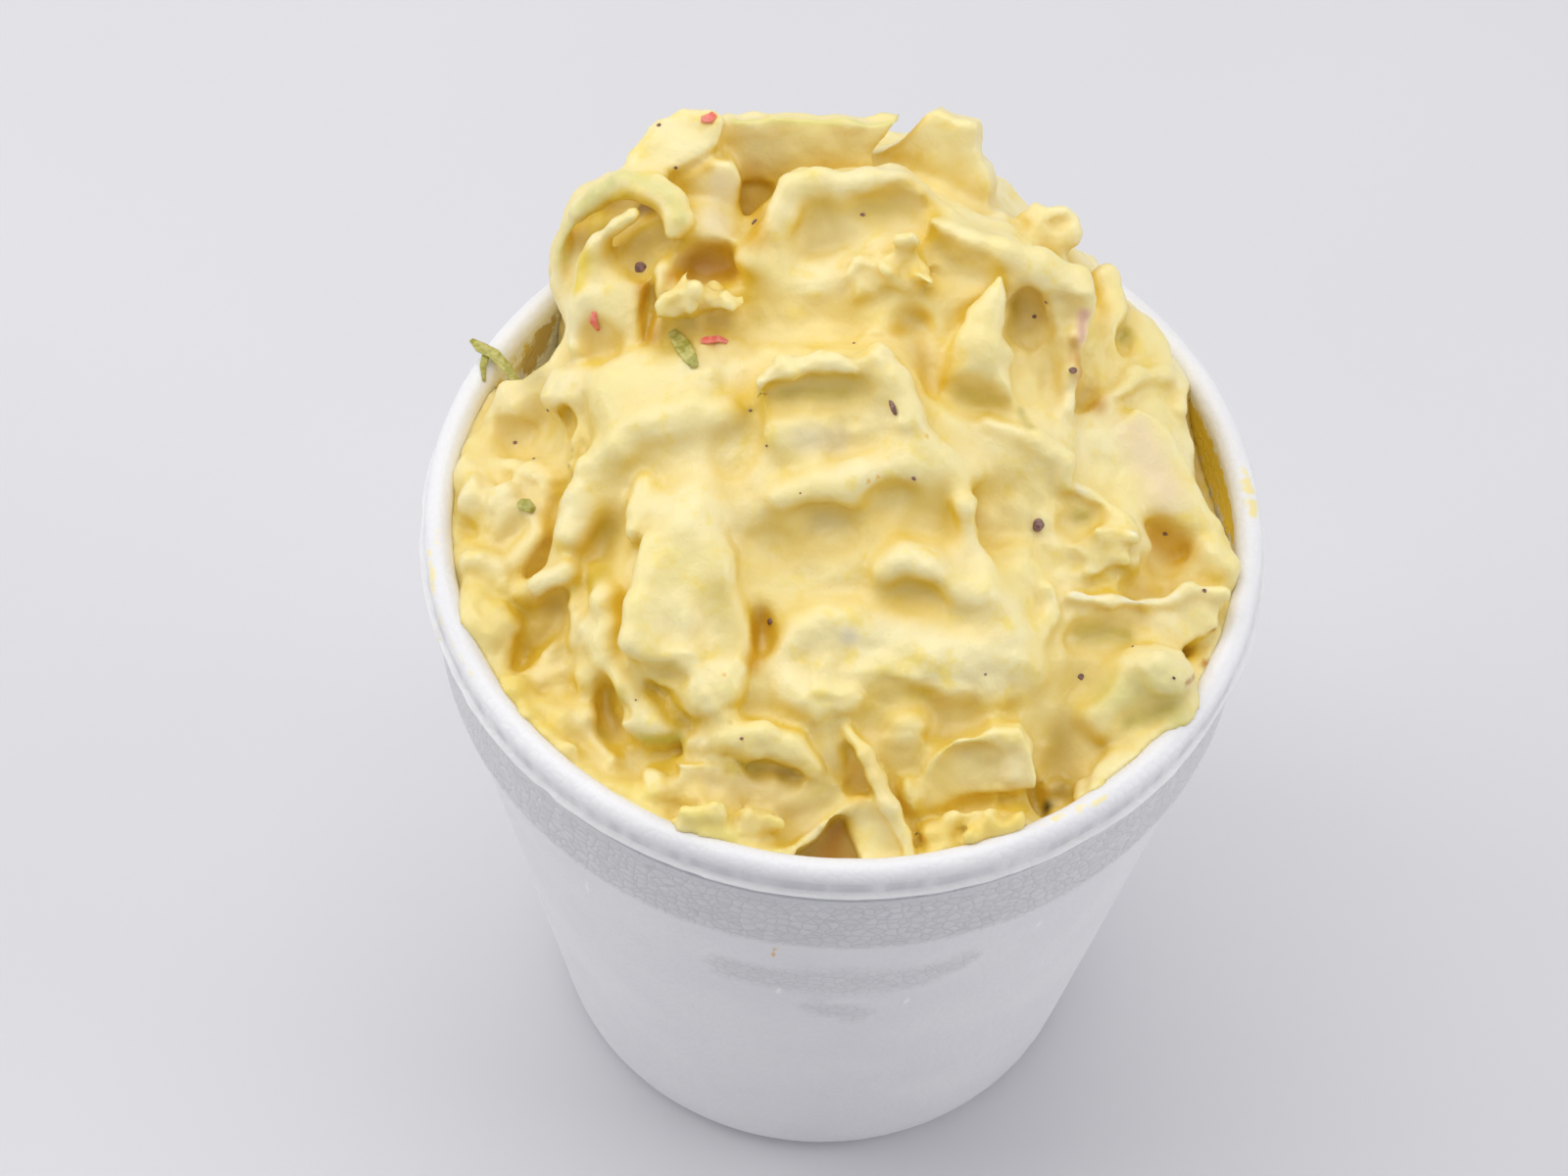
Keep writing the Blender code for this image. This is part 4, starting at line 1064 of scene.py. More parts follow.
def salad_material():
    material, tree, shader, place = start_material("salad_cream", CREAM[:3])
    broad = ramp(tree, noise_of(tree, place, 9.0, 3.0), 0.35, 0.68)
    colour = mix(tree, broad, CREAM, CREAM_PALE)
    patches = ramp(tree, noise_of(tree, place, 3.2, 3.0, 0.55), 0.52, 0.75)
    colour = mix(tree, patches, colour, CREAM_YELLOW)
    grains = ramp(tree, noise_of(tree, place, 0.7, 2.0), 0.66, 0.78, 0.0, 0.35)
    colour = mix(tree, grains, colour, (0.90, 0.68, 0.18, 1))
    # Painted shade: the colour turns deep gold in hollows, in creases and on steep faces
    depth = attribute(tree, "hollow").outputs["Fac"]
    colour = mix(tree, depth, colour, SHADE_GOLD)
    # Stains, and painted shade laid by region
    tint = attribute(tree, "tint")
    colour = mix(tree, tint.outputs["Alpha"], colour, tint.outputs["Color"])
    gloss = ramp(tree, noise_of(tree, place, 1.8, 3.0), 0.3, 0.7, 0.34, 0.52)
    tree.links.new(gloss, shader.inputs["Roughness"])
    fine = noise_of(tree, place, 0.55, 4.0, 0.6)
    lumps = noise_of(tree, place, 1.5, 2.0)
    relief = calculate(tree, "ADD", calculate(tree, "MULTIPLY", fine, 0.35), lumps)
    finish_surface(tree, shader, colour, relief, 0.35, 0.0004, {
        "Subsurface Weight": 0.35, "Subsurface Radius": (1.0, 0.86, 0.42), "Subsurface Scale": 0.0014,
        "Coat Weight": 0.12, "Coat Roughness": 0.22})
    return material


def foam_material():
    material, tree, shader, place = start_material("foam_beads", (0.88, 0.88, 0.9))
    beads = {"Vector": place, "Scale": 760.0, "Randomness": 0.85}
    cells = make_node(tree, "ShaderNodeTexVoronoi", beads, feature="DISTANCE_TO_EDGE").outputs["Distance"]
    seams = ramp(tree, cells, 0.01, 0.07, 1.0, 0.0)
    each = make_node(tree, "ShaderNodeTexVoronoi", beads, feature="F1")
    shade_of_cell = make_node(tree, "ShaderNodeSeparateColor", {0: each.outputs["Color"]}).outputs[0]
    shown = attribute(tree, "cells").outputs["Fac"]
    cloud = ramp(tree, noise_of(tree, place, 14.0, 2.0), 0.3, 0.7)
    white = mix(tree, cloud, (0.90, 0.90, 0.92, 1), (0.86, 0.86, 0.885, 1))
    either = ramp(tree, shade_of_cell, 0.0, 1.0)
    cell_colour = mix(tree, either, (0.69, 0.685, 0.70, 1), (0.74, 0.735, 0.755, 1))
    colour = mix(tree, calculate(tree, "MULTIPLY", shown, 0.85), white, cell_colour)
    seam_strength = calculate(tree, "MULTIPLY", seams, calculate(tree, "MULTIPLY", shown, 0.4))
    colour = mix(tree, seam_strength, colour, (0.42, 0.42, 0.45, 1))
    # Painted shade on the lip's outer side and in the groove under it
    colour = mix(tree, attribute(tree, "painted_lip_shade").outputs["Fac"], colour, (0.50, 0.50, 0.54, 1))
    # Painted highlight on the mould line, and lighter lines on the edges of ledge and band
    colour = mix(tree, attribute(tree, "highlight_and_edge_lines").outputs["Fac"], colour, (0.98, 0.98, 0.99, 1))
    tint = attribute(tree, "tint")
    ragged = ramp(tree, noise_of(tree, place, 1.6, 4.0, 0.65), 0.36, 0.60)
    strength = calculate(tree, "MULTIPLY", tint.outputs["Alpha"], 1.8)
    strength = calculate(tree, "SUBTRACT", calculate(tree, "ADD", strength, ragged), 1.0)
    strength = ramp(tree, strength, 0.0, 1.0)
    colour = mix(tree, strength, colour, tint.outputs["Color"])
    height = calculate(tree, "MULTIPLY", ramp(tree, cells, 0.0, 0.25), calculate(tree, "ADD", shown, 0.25))
    finish_surface(tree, shader, colour, height, 0.35, 0.0002, {
        "Roughness": 0.42, "Subsurface Weight": 0.25, "Subsurface Radius": (1.0, 1.0, 1.0),
        "Subsurface Scale": 0.0015})
    return material


def bit_material(name, dark, light, size_mm):
    """Small pieces: two shades in uneven patches."""
    material, tree, shader, place = start_material(name, light[:3])
    colour = mix(tree, ramp(tree, noise_of(tree, place, size_mm, 3.0, 0.6), 0.35, 0.65), dark, light)
    finish_surface(tree, shader, colour, noise_of(tree, place, size_mm / 2, 3.0), 0.4, 0.0002, {
        "Roughness": 0.4, "Subsurface Weight": 0.2, "Subsurface Radius": (1.0, 0.8, 0.4),
        "Subsurface Scale": 0.0008})
    return material


# Paint on the surfaces

# Depth in millimetres that a pixel of distance counts as, within a reach in pixels and beyond it, when the
# point that shows at a pixel is looked for
AWAY_COST = 0.12
FAR_COST = 20
SEEN_REACH = 6.0

# How far round a patch of paint bare points take its colour
BARE_REACH = 2.0


class Paint:
    """Colours at a surface's points, laid round places found by their pixels in the view."""

    def __init__(self, points):
        self.points = points
        self.px, self.py, self.depth = to_pixels(points)
        self.tint = np.zeros((len(points), 4))

    def seen(self, px, py):
        """Number of the nearest point that shows at a pixel."""
        away = np.hypot(self.px - px, self.py - py)
        return np.argmin(self.depth + AWAY_COST * away + FAR_COST * np.maximum(away - SEEN_REACH, 0))

    def streak(self, knots, colour, strength=1.0, edge=0.95):
        """Patch of colour along knots of px, py and radius in millimetres, stains and painted shade alike.
        edge is the soft share of the radius.
        """
        places = [(self.points[self.seen(px, py)], radius) for px, py, radius in knots]
        best = np.zeros(len(self.points))
        near = np.zeros(len(self.points), bool)
        for (a, start), (b, end) in zip(places, places[1:] or places):
            way = b - a
            share = np.clip(((self.points - a) @ way) / max(way @ way, 1e-9), 0, 1)
            away = np.linalg.norm(self.points - a - share[:, None] * way, axis=1)
            radius = start + (end - start) * share
            best = np.maximum(best, np.clip((radius - away) / (radius * edge), 0, 1))
            near |= away < radius + BARE_REACH
        self.blend(best, near, colour, strength)

    def blend(self, weight, near, colour, strength):
        """Mix in a colour. Bare points near it take the colour at no strength, to keep its edge clean."""
        weight = (weight * weight * (3 - 2 * weight) * strength)[:, None]
        old = self.tint[:, 3:]
        alpha = weight + old * (1 - weight)
        mixed = (np.array(colour) * weight + self.tint[:, :3] * old * (1 - weight)) / np.maximum(alpha, 1e-6)
        bare = np.where(near[:, None], np.array(colour), self.tint[:, :3])
        self.tint = np.concatenate([np.where(alpha > 0, mixed, bare), alpha], 1)

    def add_rows(self, rows):
        for knots, colour, strength in rows.values():
            self.streak(knots, colour, strength)


# Gold, orange and olive are painted shade for hollows, gaps and overhangs
GOLD_SHADE = (0.74, 0.47, 0.03)
YOLK = (0.88, 0.64, 0.10)
ORANGE_SHADE = (0.60, 0.31, 0.01)
OLIVE_SHADE = (0.52, 0.42, 0.03)
GREEN = (0.66, 0.64, 0.22)
POTATO = (0.87, 0.74, 0.46)
PINKISH = (0.88, 0.71, 0.48)
GREY = (0.74, 0.66, 0.46)
WHITISH = (0.92, 0.87, 0.66)
PINK = (0.72, 0.40, 0.36)

# Stains of the salad and painted shade in its hollows and gaps: knots of px, py and radius in millimetres,
# colour, strength
SALAD_STAINS_AND_SHADE = {
    # Painted shade in the shoulder's hollow and slot, in the curl, under the arch, round the seed, at the
    # beige face's foot and in the cave
    "shoulder_hollow": ([(690, 280, 1.8), (715, 272, 3.4), (744, 276, 3.4)], ORANGE_SHADE, 1.0),
    "slot": ([(661, 295, 1.8), (660, 340, 1.8)], ORANGE_SHADE, 0.95),
    "curl_hollow": ([(635, 208, 2.0), (608, 228, 2.6), (590, 260, 2.4), (586, 290, 1.8)],
                    (0.82, 0.62, 0.04), 0.9),
    "under_arch": ([(640, 258, 2.0), (675, 246, 2.2)], GOLD_SHADE, 0.5),
    "seed_hollow": ([(650, 270, 2.2)], GOLD_SHADE, 0.4),
    "block_shadow": ([(692, 180, 1.8), (722, 168, 1.4)], GOLD_SHADE, 0.8),
    "beige_face": ([(735, 188, 2.4), (732, 225, 3.2)], POTATO, 0.8),
    "beige_foot": ([(742, 262, 2.2)], GOLD_SHADE, 0.6),
    "cave": ([(768, 172, 2.4), (768, 238, 3.0)], (0.70, 0.42, 0.02), 1.0),
    "celery_edge": ([(590, 205, 1.6), (640, 176, 1.6), (676, 192, 1.6), (696, 222, 1.4)], GREEN, 0.55),
    "shoulder_rim": ([(572, 260, 2.0), (582, 222, 2.0), (618, 186, 1.6)], GREEN, 0.4),
    "slice_face": ([(770, 155, 4.0), (880, 150, 4.0)], (0.82, 0.72, 0.36), 0.65),
    "slice_edge": ([(750, 124, 0.9), (915, 125, 0.9)], (0.72, 0.66, 0.18), 0.7),
    "slice_yellow": ([(860, 168, 1.8)], YOLK, 0.51),
    # Painted shade under the crest, in the corner hollow and its fall, under the barrel, beside the horn,
    # behind the skin and in the olive hollow
    "crest_recess": ([(840, 212, 2.2), (880, 215, 2.4), (925, 216, 2.2)], (0.80, 0.62, 0.14), 0.42),
    "corner_hollow": ([(918, 334, 1.4), (940, 326, 1.4)], GOLD_SHADE, 0.8),
    "corner_fall": ([(940, 350, 1.4), (948, 392, 1.8)], GOLD_SHADE, 0.6),
    "barrel_under": ([(985, 402, 2.2), (1020, 415, 2.4)], (0.64, 0.45, 0.05), 0.8),
    "barrel_green": ([(1046, 415, 1.0), (1050, 432, 1.2)], (0.50, 0.44, 0.12), 0.6),
    "horn_hollow": ([(1040, 315, 2.2), (1036, 345, 2.0)], (0.66, 0.48, 0.06), 0.75),
    "behind_skin": ([(1098, 350, 1.2), (1108, 385, 2.2), (1122, 412, 2.0)], ORANGE_SHADE, 0.8),
    "pink_piece": ([(1106, 322, 1.2), (1110, 342, 1.2)], PINK, 0.8),
    "olive_hollow": ([(1148, 346, 1.8)], OLIVE_SHADE, 0.8),
    "right_block": ([(1160, 440, 3.4), (1190, 500, 4.0)], PINKISH, 0.7),
    # Painted shade in the right pit and the crumbly hollow, under the slab, in the leaning block's fold and
    # in the right front gap
    "right_pit": ([(1180, 548, 2.6), (1202, 566, 2.8)], (0.76, 0.46, 0.02), 0.85),
    "crumbly_hollow": ([(1105, 528, 1.8)], OLIVE_SHADE, 0.6),
    "crumbly_edge": ([(1100, 495, 0.6), (1158, 538, 0.6)], WHITISH, 0.8),
    "slab_edge": ([(1095, 604, 0.7), (1160, 612, 0.7), (1200, 606, 0.7)], WHITISH, 0.8),
    "under_slab": ([(1105, 648, 2.0), (1148, 650, 1.8)], (0.62, 0.50, 0.08), 0.7),
    "leaning_block": ([(1130, 710, 4.0), (1190, 690, 4.2), (1200, 730, 3.0)], GREEN, 0.45),
    "leaning_fold": ([(1150, 738, 1.6), (1190, 724, 1.6)], OLIVE_SHADE, 0.6),
    "right_front_gap": ([(1080, 760, 2.6), (1086, 800, 2.8)], (0.50, 0.33, 0.03), 0.85),
    "potato_patch": ([(820, 445, 2.6), (852, 450, 2.6)], GREY, 0.6),
    # Painted shade under the plate's lip, in the hole beside the tongue and on the tongue's turned-away side
    "under_lip": ([(800, 404, 1.4), (860, 402, 1.6)], (0.66, 0.50, 0.05), 0.6),
    "grey_slope": ([(865, 650, 1.6)], (0.70, 0.68, 0.60), 0.5),
    "beside_tongue": ([(776, 632, 2.4), (772, 676, 2.0)], (0.66, 0.36, 0.01), 1.0),
    "tongue_side": ([(736, 605, 2.2), (742, 655, 2.4)], (0.72, 0.60, 0.20), 0.5),
    # Painted shade in the knob and brown hollows, under and beside the drape, and as deeper yellow on the
    # low left field by the rim
    "knob_hollow": ([(620, 540, 2.6), (606, 582, 2.6)], (0.62, 0.43, 0.02), 0.8),
    "brown_hollow": ([(566, 618, 1.6), (566, 655, 1.8)], (0.62, 0.42, 0.05), 0.52),
    "drape_under": ([(655, 755, 1.8), (690, 758, 1.6)], (0.58, 0.55, 0.10), 0.7),
    "drape_hollow": ([(628, 705, 1.4), (618, 745, 1.8)], (0.55, 0.42, 0.04), 0.7),
    "left_low": ([(520, 690, 4.0), (575, 760, 4.0), (620, 800, 3.0)], YOLK, 0.42),
    "left_wall": ([(484, 440, 2.6), (478, 540, 3.0), (496, 650, 3.4), (560, 740, 3.4)],
                  (0.84, 0.62, 0.08), 0.4),
    # Painted shade in the crevice between the left shoulder and the wall
    "left_back": ([(545, 385, 3.0)], (0.46, 0.36, 0.08), 0.49),
    "front_face": ([(730, 800, 3.0), (810, 820, 3.6), (830, 845, 2.0)], POTATO, 0.7),
    # Painted shade under the front block, in its dark hollow, in the front gap and in the strand's pocket
    "under_front_block": ([(745, 784, 1.4), (770, 785, 1.8)], (0.66, 0.50, 0.05), 0.8),
    "front_dark_hollow": ([(798, 788, 1.5), (808, 792, 1.2)], (0.46, 0.28, 0.02), 0.8),
    "front_gap": ([(855, 846, 2.0), (846, 872, 4.0)], (0.60, 0.30, 0.01), 1.0),
    "front_yellow": ([(660, 815, 2.2), (720, 838, 2.4), (770, 862, 1.8)], (0.93, 0.76, 0.24), 0.6),
    "strand_pocket": ([(870, 780, 1.4), (876, 806, 1.8)], (0.84, 0.50, 0.04), 0.95),
    "right_chunk": ([(990, 785, 3.2), (1035, 785, 3.0)], (0.88, 0.80, 0.52), 0.7),
    "yolk_chunk": ([(945, 850, 2.8), (1000, 848, 3.2), (1040, 835, 2.4)], (0.90, 0.67, 0.14), 0.8),
    # Painted shadow, near black, in the gap at the rim
    "gap_shadow": ([(1063, 822, 1.4)], (0.03, 0.02, 0.01), 0.95),
    "rim_yellow": ([(1080, 828, 1.2), (1130, 806, 1.2)], (0.95, 0.78, 0.28), 0.7),
    "wall_gap": ([(1225, 480, 2.4), (1262, 540, 1.8)], (0.72, 0.55, 0.12), 0.6),
    # Painted shade in the slot by the right wall
    "wall_slot": ([(1240, 648, 0.5), (1230, 672, 0.8), (1217, 698, 0.6)], (0.50, 0.22, 0.01), 1.0),
    "dot_a": ([(886, 491, 0.35)], (0.80, 0.45, 0.04), 0.9),
    "dot_b": ([(896, 486, 0.25)], (0.80, 0.45, 0.04), 0.9),
    "dot_c": ([(946, 445, 0.4)], (0.80, 0.50, 0.05), 0.9),
    "dot_d": ([(880, 567, 0.5)], (0.88, 0.66, 0.10), 0.9),
    "dot_e": ([(740, 688, 0.35)], (0.80, 0.45, 0.04), 0.9),
    "front_shade": ([(700, 812, 5.0), (790, 822, 5.5), (880, 790, 6.0), (980, 790, 6.0), (1070, 760, 5.5)],
                    (0.76, 0.57, 0.12), 0.55),
    # Paler colour that takes back part of the painted hollow shade on the left field
    "left_pale": ([(520, 430, 6.0), (520, 520, 6.0), (540, 590, 5.0)], (0.94, 0.83, 0.47), 0.35),
    "front_rim_yellow": ([(645, 800, 1.6), (690, 825, 2.0), (740, 850, 1.8), (790, 868, 1.5)],
                         (0.95, 0.79, 0.22), 0.7),
    # Painted shade under the tongue's lip
    "under_tongue_lip": ([(664, 680, 1.0), (692, 684, 1.0)], (0.80, 0.68, 0.26), 0.5),
}
# Dressing on the lip, and the light dots and orange specks on the cup's outside
OUTSIDE_STAINS = {
    "left_lip": ([(446, 540, 1.0), (436, 600, 1.3), (444, 650, 0.7)], (0.94, 0.84, 0.50), 0.5),
    "left_outer": ([(432, 560, 0.5), (446, 640, 0.5), (480, 690, 0.4)], (0.92, 0.82, 0.48), 0.4),
    "right_lip": ([(1270, 478, 0.9), (1276, 505, 1.7), (1280, 530, 1.1)], (0.92, 0.80, 0.40), 0.65),
    "front_right_lip": ([(1065, 838, 0.8), (1100, 826, 1.0), (1130, 812, 0.6)], (0.94, 0.82, 0.42), 0.6),
    "dot_a": ([(597, 910, 0.5)], (1.0, 1.0, 1.0), 1.0),
    "dot_b": ([(795, 1014, 0.5)], (1.0, 1.0, 1.0), 1.0),
    "dot_c": ([(927, 1028, 0.45)], (1.0, 1.0, 1.0), 1.0),
    "dot_d": ([(1060, 945, 0.4)], (1.0, 1.0, 1.0), 1.0),
    "orange_speck": ([(758, 895, 0.4)], (0.80, 0.34, 0.06), 0.9),
    "orange_speck_low": ([(790, 978, 0.35)], (0.82, 0.50, 0.14), 0.8),
}
# Dressing on the cup's inner wall, and painted shade in the crevice behind the left shoulder
WALL_STAINS_AND_SHADE = {
    "wall_right_deep": ([(1206, 415, 3.0), (1225, 470, 4.0), (1248, 525, 3.5)], (0.84, 0.64, 0.08), 1.0),
    "wall_left_back": ([(512, 380, 4.5), (532, 356, 5.0), (550, 330, 5.0), (562, 308, 4.5)],
                       (0.74, 0.58, 0.12), 1.0),
    # Painted shade in the crevice between the left shoulder and the wall
    "wall_left_back_shade": ([(545, 370, 3.0), (558, 345, 3.4), (567, 318, 2.6)], (0.52, 0.38, 0.14), 1.0),
    "wall_right": ([(1212, 410, 4.0), (1232, 470, 4.6), (1258, 540, 4.0)], (0.76, 0.56, 0.04), 1.0),
    "wall_right_low": ([(1252, 600, 3.0), (1238, 650, 3.2), (1220, 695, 2.6)], (0.78, 0.50, 0.03), 1.0),
    "wall_left": ([(492, 420, 3.6), (476, 500, 3.6), (476, 560, 3.6), (498, 650, 3.6)],
                  (0.82, 0.62, 0.08), 1.0),
    "wall_right_back": ([(1150, 315, 2.5), (1185, 365, 3.0)], (0.85, 0.72, 0.30), 0.9),
}


# Knots of px, py and radius of a patch on the cup's body whose beads show like the band's
CELL_PATCH = (
    [(745, 990, 4.0), (800, 1000, 5.0), (860, 1005, 6.0), (930, 1000, 5.0), (985, 985, 3.0)],
    [(835, 1030, 3.0), (870, 1038, 3.4)],
)


# Small pieces on the surfaces

LUMP_UNEVENNESS = 0.18
BLADE_SIDES = 10
BLADE_FOLD = 0.35
BLADE_THICKNESS = 0.22
BLADE_LIFT = 0.12
SEED_SCALE = 0.8
SEED_THICKNESS = 0.5


class Bits:
    """Many small lumps of one kind, joined in one mesh."""

    def __init__(self):
        ball = bmesh.new()
        bmesh.ops.create_icosphere(ball, subdivisions=3, radius=1.0)
        self.ball = np.array([tuple(vertex.co) for vertex in ball.verts])
        self.ball_faces = [[vertex.index for vertex in face.verts] for face in ball.faces]
        ball.free()
        self.points = []
        self.faces = []
        self.count = 0

    def add(self, points, faces):
        self.points.append(points)
        self.faces += [[corner + self.count for corner in face] for face in faces]
        self.count += len(points)

    def lump(self, place, axes, sizes, seed):
        uneven = LUMP_UNEVENNESS * lattice_noise(self.ball + seed * 7.3, 0.7, 31)[:, None]
        self.add(place + (self.ball * (1 + uneven) * sizes) @ axes, self.ball_faces)

    def blade(self, places, widths, normal):
        """Thin leaf or sliver along places, folded a little along its middle."""
        places = np.array(places)
        ways = np.gradient(places, axis=0)
        ways /= np.linalg.norm(ways, axis=1, keepdims=True)
        sides = np.cross(ways, normal)
        sides /= np.linalg.norm(sides, axis=1, keepdims=True)
        rises = np.cross(sides, ways)
        angles = 2 * np.pi * np.arange(BLADE_SIDES) / BLADE_SIDES
        rings = []
        for place, side, rise, width in zip(places, sides, rises, widths):
            across = np.cos(angles) * width
            up = np.sin(angles) * BLADE_THICKNESS + np.abs(np.cos(angles)) * width * BLADE_FOLD
            rings.append(place + across[:, None] * side + up[:, None] * rise)
        faces = []
        for ring in range(len(places) - 1):
            for step in range(BLADE_SIDES):
                ahead = (step + 1) % BLADE_SIDES
                low, high = ring * BLADE_SIDES, (ring + 1) * BLADE_SIDES
                faces.append((low + step, high + step, high + ahead, low + ahead))
        last = (len(places) - 1) * BLADE_SIDES
        faces.append(tuple(range(BLADE_SIDES)))
        faces.append(tuple(range(last, last + BLADE_SIDES))[::-1])
        self.add(np.concatenate(rings), faces)

    def finish(self, name, material):
        made = new_mesh(name, np.concatenate(self.points), self.faces)
        made.data.materials.append(material)
        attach(made, "root")


# Seeds and specks: px, py, half length, half width, turn in the view, share of the width out of the surface
SEEDS = {
    "peppercorn_left": (653, 270, 0.95, 0.85, 0, -0.1),
    "long_seed": (911, 415, 1.25, 0.42, -58, 0.1),
    "peppercorn_right": (1060, 537, 1.1, 0.8, 60, -0.1),
    "wall_seed": (1098, 377, 0.55, 0.45, 0, 0.1),
    "cave_seed": (766, 222, 0.5, 0.4, 90, 0.0),
    "crest_speck": (881, 218, 0.32, 0.25, 0, 0.1),
    "hollow_speck_a": (1055, 323, 0.32, 0.25, 0, 0.1),
    "hollow_speck_b": (1063, 312, 0.22, 0.2, 0, 0.1),
    "plate_speck_a": (766, 420, 0.25, 0.2, 0, 0.1),
    "plate_speck_b": (778, 457, 0.2, 0.18, 0, 0.1),
    "plate_speck_c": (870, 345, 0.2, 0.18, 0, 0.1),
    "shelf_speck": (815, 502, 0.14, 0.12, 0, 0.1),
    "dark_dot": (934, 488, 0.34, 0.26, -60, 0.15),
    "left_dot_a": (555, 422, 0.28, 0.22, 0, 0.1),
    "left_dot_b": (527, 452, 0.34, 0.28, 0, 0.0),
    "left_dot_c": (543, 463, 0.26, 0.24, 0, 0.0),
    "right_dot_a": (1188, 546, 0.34, 0.28, 0, 0.1),
    "right_dot_b": (1231, 601, 0.32, 0.28, 0, 0.1),
    "right_dot_c": (1197, 692, 0.26, 0.18, -40, 0.1),
    "right_dot_d": (1155, 655, 0.2, 0.18, 0, 0.1),
    "buried_seed": (1105, 692, 0.6, 0.5, 0, -0.25),
    "slope_dot": (1007, 688, 0.2, 0.18, 0, 0.1),
    "lump_dot": (758, 754, 0.26, 0.2, 0, 0.1),
    "drape_dot": (650, 712, 0.16, 0.14, 0, 0.1),
    "hole_seed": (784, 634, 0.5, 0.4, 30, 0.1),
    "block_dot": (672, 128, 0.35, 0.3, 0, 0.0),
    "under_block_dot": (690, 172, 0.26, 0.22, 0, 0.1),
}
# Flecks: knots of px, py and, off the surface, height above the rim, and a half width for each knot
RED_BITS = {
    "upright": ([(604, 320), (607, 330), (609, 338)], (0.25, 0.42, 0.2)),
    "level": ([(714, 343), (722, 346), (732, 347), (741, 347)], (0.3, 0.48, 0.48, 0.25)),
    "top": ([(717, 122), (723, 119), (729, 116)], (0.4, 0.6, 0.4)),
}
GREEN_BITS = {
    "fleck": ([(686, 340), (694, 350), (703, 364), (711, 374)], (0.5, 0.9, 0.8, 0.4)),
    "left": ([(529, 512), (537, 517), (543, 522)], (0.4, 0.9, 0.4)),
    "rim_leaf": ([(481, 348, 0.9), (490, 356, 0.9), (504, 363, 0.6), (518, 378, 0.3), (534, 402, 0.2)],
                 (0.3, 0.75, 0.75, 0.6, 0.3)),
    "rim_stalk": ([(497, 361, 0.6), (493, 374, 0.2), (494, 390, -0.4)], (0.5, 0.4, 0.2)),
}


def surface_frame(paint, px, py, height=None):
    """Place and outward direction of the surface seen at a pixel, or a place at a height above the rim."""
    if height is not None:
        return place_at(px, py, height), np.array([0, 0, 1.0])
    number = paint.seen(px, py)
    return paint.points[number], paint.normals[number]


def axes_on(normal, turn):
    """Rows are along, across and out of a surface. Along is turned in the view from the right."""
    angle = math.radians(turn)
    along = RIGHT * math.cos(angle) + UP * math.sin(angle)
    along = along - normal * (along @ normal)
    along /= np.linalg.norm(along)
    return np.array([along, np.cross(normal, along), normal])


def add_bits(paint):
    seeds = Bits()
    for number, (px, py, length, width, turn, out) in enumerate(SEEDS.values()):
        place, normal = surface_frame(paint, px, py)
        sizes = (length * SEED_SCALE, width * SEED_SCALE, width * SEED_THICKNESS)
        seeds.lump(place + normal * out * width, axes_on(normal, turn), sizes, number)
    pepper = bit_material("pepper", (0.13, 0.055, 0.04, 1), (0.32, 0.18, 0.15, 1), 0.5)
    seeds.finish("pepper_seeds", pepper)
    for name, rows, dark, light in (
            ("red_flecks", RED_BITS, (0.88, 0.16, 0.12, 1), (0.95, 0.34, 0.26, 1)),
            ("green_flecks", GREEN_BITS, (0.36, 0.35, 0.05, 1), (0.60, 0.56, 0.18, 1))):
        bits = Bits()
        for knots, widths in rows.values():
            frames = [surface_frame(paint, *knot) for knot in knots]
            normal = np.mean([frame[1] for frame in frames], axis=0)
            bits.blade([place + way * BLADE_LIFT for place, way in frames], widths, normal)
        bits.finish(name, bit_material(name, dark, light, 0.8))


# Stage

def add_stage():
    bpy.ops.mesh.primitive_plane_add(size=3.0)
    floor = bpy.context.object
    floor.name = "floor"
    material, tree, shader, place = start_material("pale_floor", (0.8, 0.8, 0.82))
    colour = mix(tree, noise_of(tree, place, 60.0, 2.0), (0.70, 0.695, 0.72, 1), (0.73, 0.725, 0.75, 1))
    tree.links.new(colour, shader.inputs["Base Color"])
    shader.inputs["Roughness"].default_value = 0.5
    floor.data.materials.append(material)


def area_light(name, place, aim, size, watts, colour):
    light = bpy.data.lights.new(name, "AREA")
    light.shape = "DISK"
    light.size = size
    light.energy = watts
    light.color = colour
    made = bpy.data.objects.new(name, light)
    bpy.context.scene.collection.objects.link(made)
    made.location = place
    made.rotation_euler = (Vector(aim) - Vector(place)).to_track_quat("-Z", "Y").to_euler()


def add_lights():
    world = bpy.data.worlds.new("studio")
    bpy.context.scene.world = world
    world.use_nodes = True
    back = world.node_tree.nodes["Background"]
    back.inputs["Color"].default_value = (0.96, 0.965, 1.0, 1)
    back.inputs["Strength"].default_value = 0.48
    aim = (0, 0, 0.09)
    area_light("overhead", (-0.10, 0.22, 0.80), aim, 0.9, 3.3, (1.0, 0.99, 0.98))
    area_light("left", (-0.70, 0.05, 0.45), aim, 0.5, 1.5, (1.0, 0.99, 0.97))
    area_light("right", (0.75, -0.05, 0.40), aim, 0.5, 1.5, (1.0, 0.995, 0.99))
    area_light("front", (0.10, -0.85, 0.30), aim, 0.6, 0.2, (1.0, 0.995, 0.99))
    bpy.context.scene.view_settings.view_transform = "Standard"
    bpy.context.scene.view_settings.look = "None"


def add_camera():
    camera = bpy.data.cameras.new("view")
    camera.sensor_width = SENSOR_WIDTH
    camera.lens = FOCAL_PIXELS / VIEW_WIDTH * SENSOR_WIDTH
    camera.clip_start = 0.01
    made = bpy.data.objects.new("view", camera)
    bpy.context.scene.collection.objects.link(made)
    turned = Matrix((RIGHT, UP, -FORWARD)).transposed().to_4x4()
    made.matrix_world = Matrix.Translation(Vector(CAMERA_PLACE * MM)) @ turned
    bpy.context.scene.camera = made


# Build

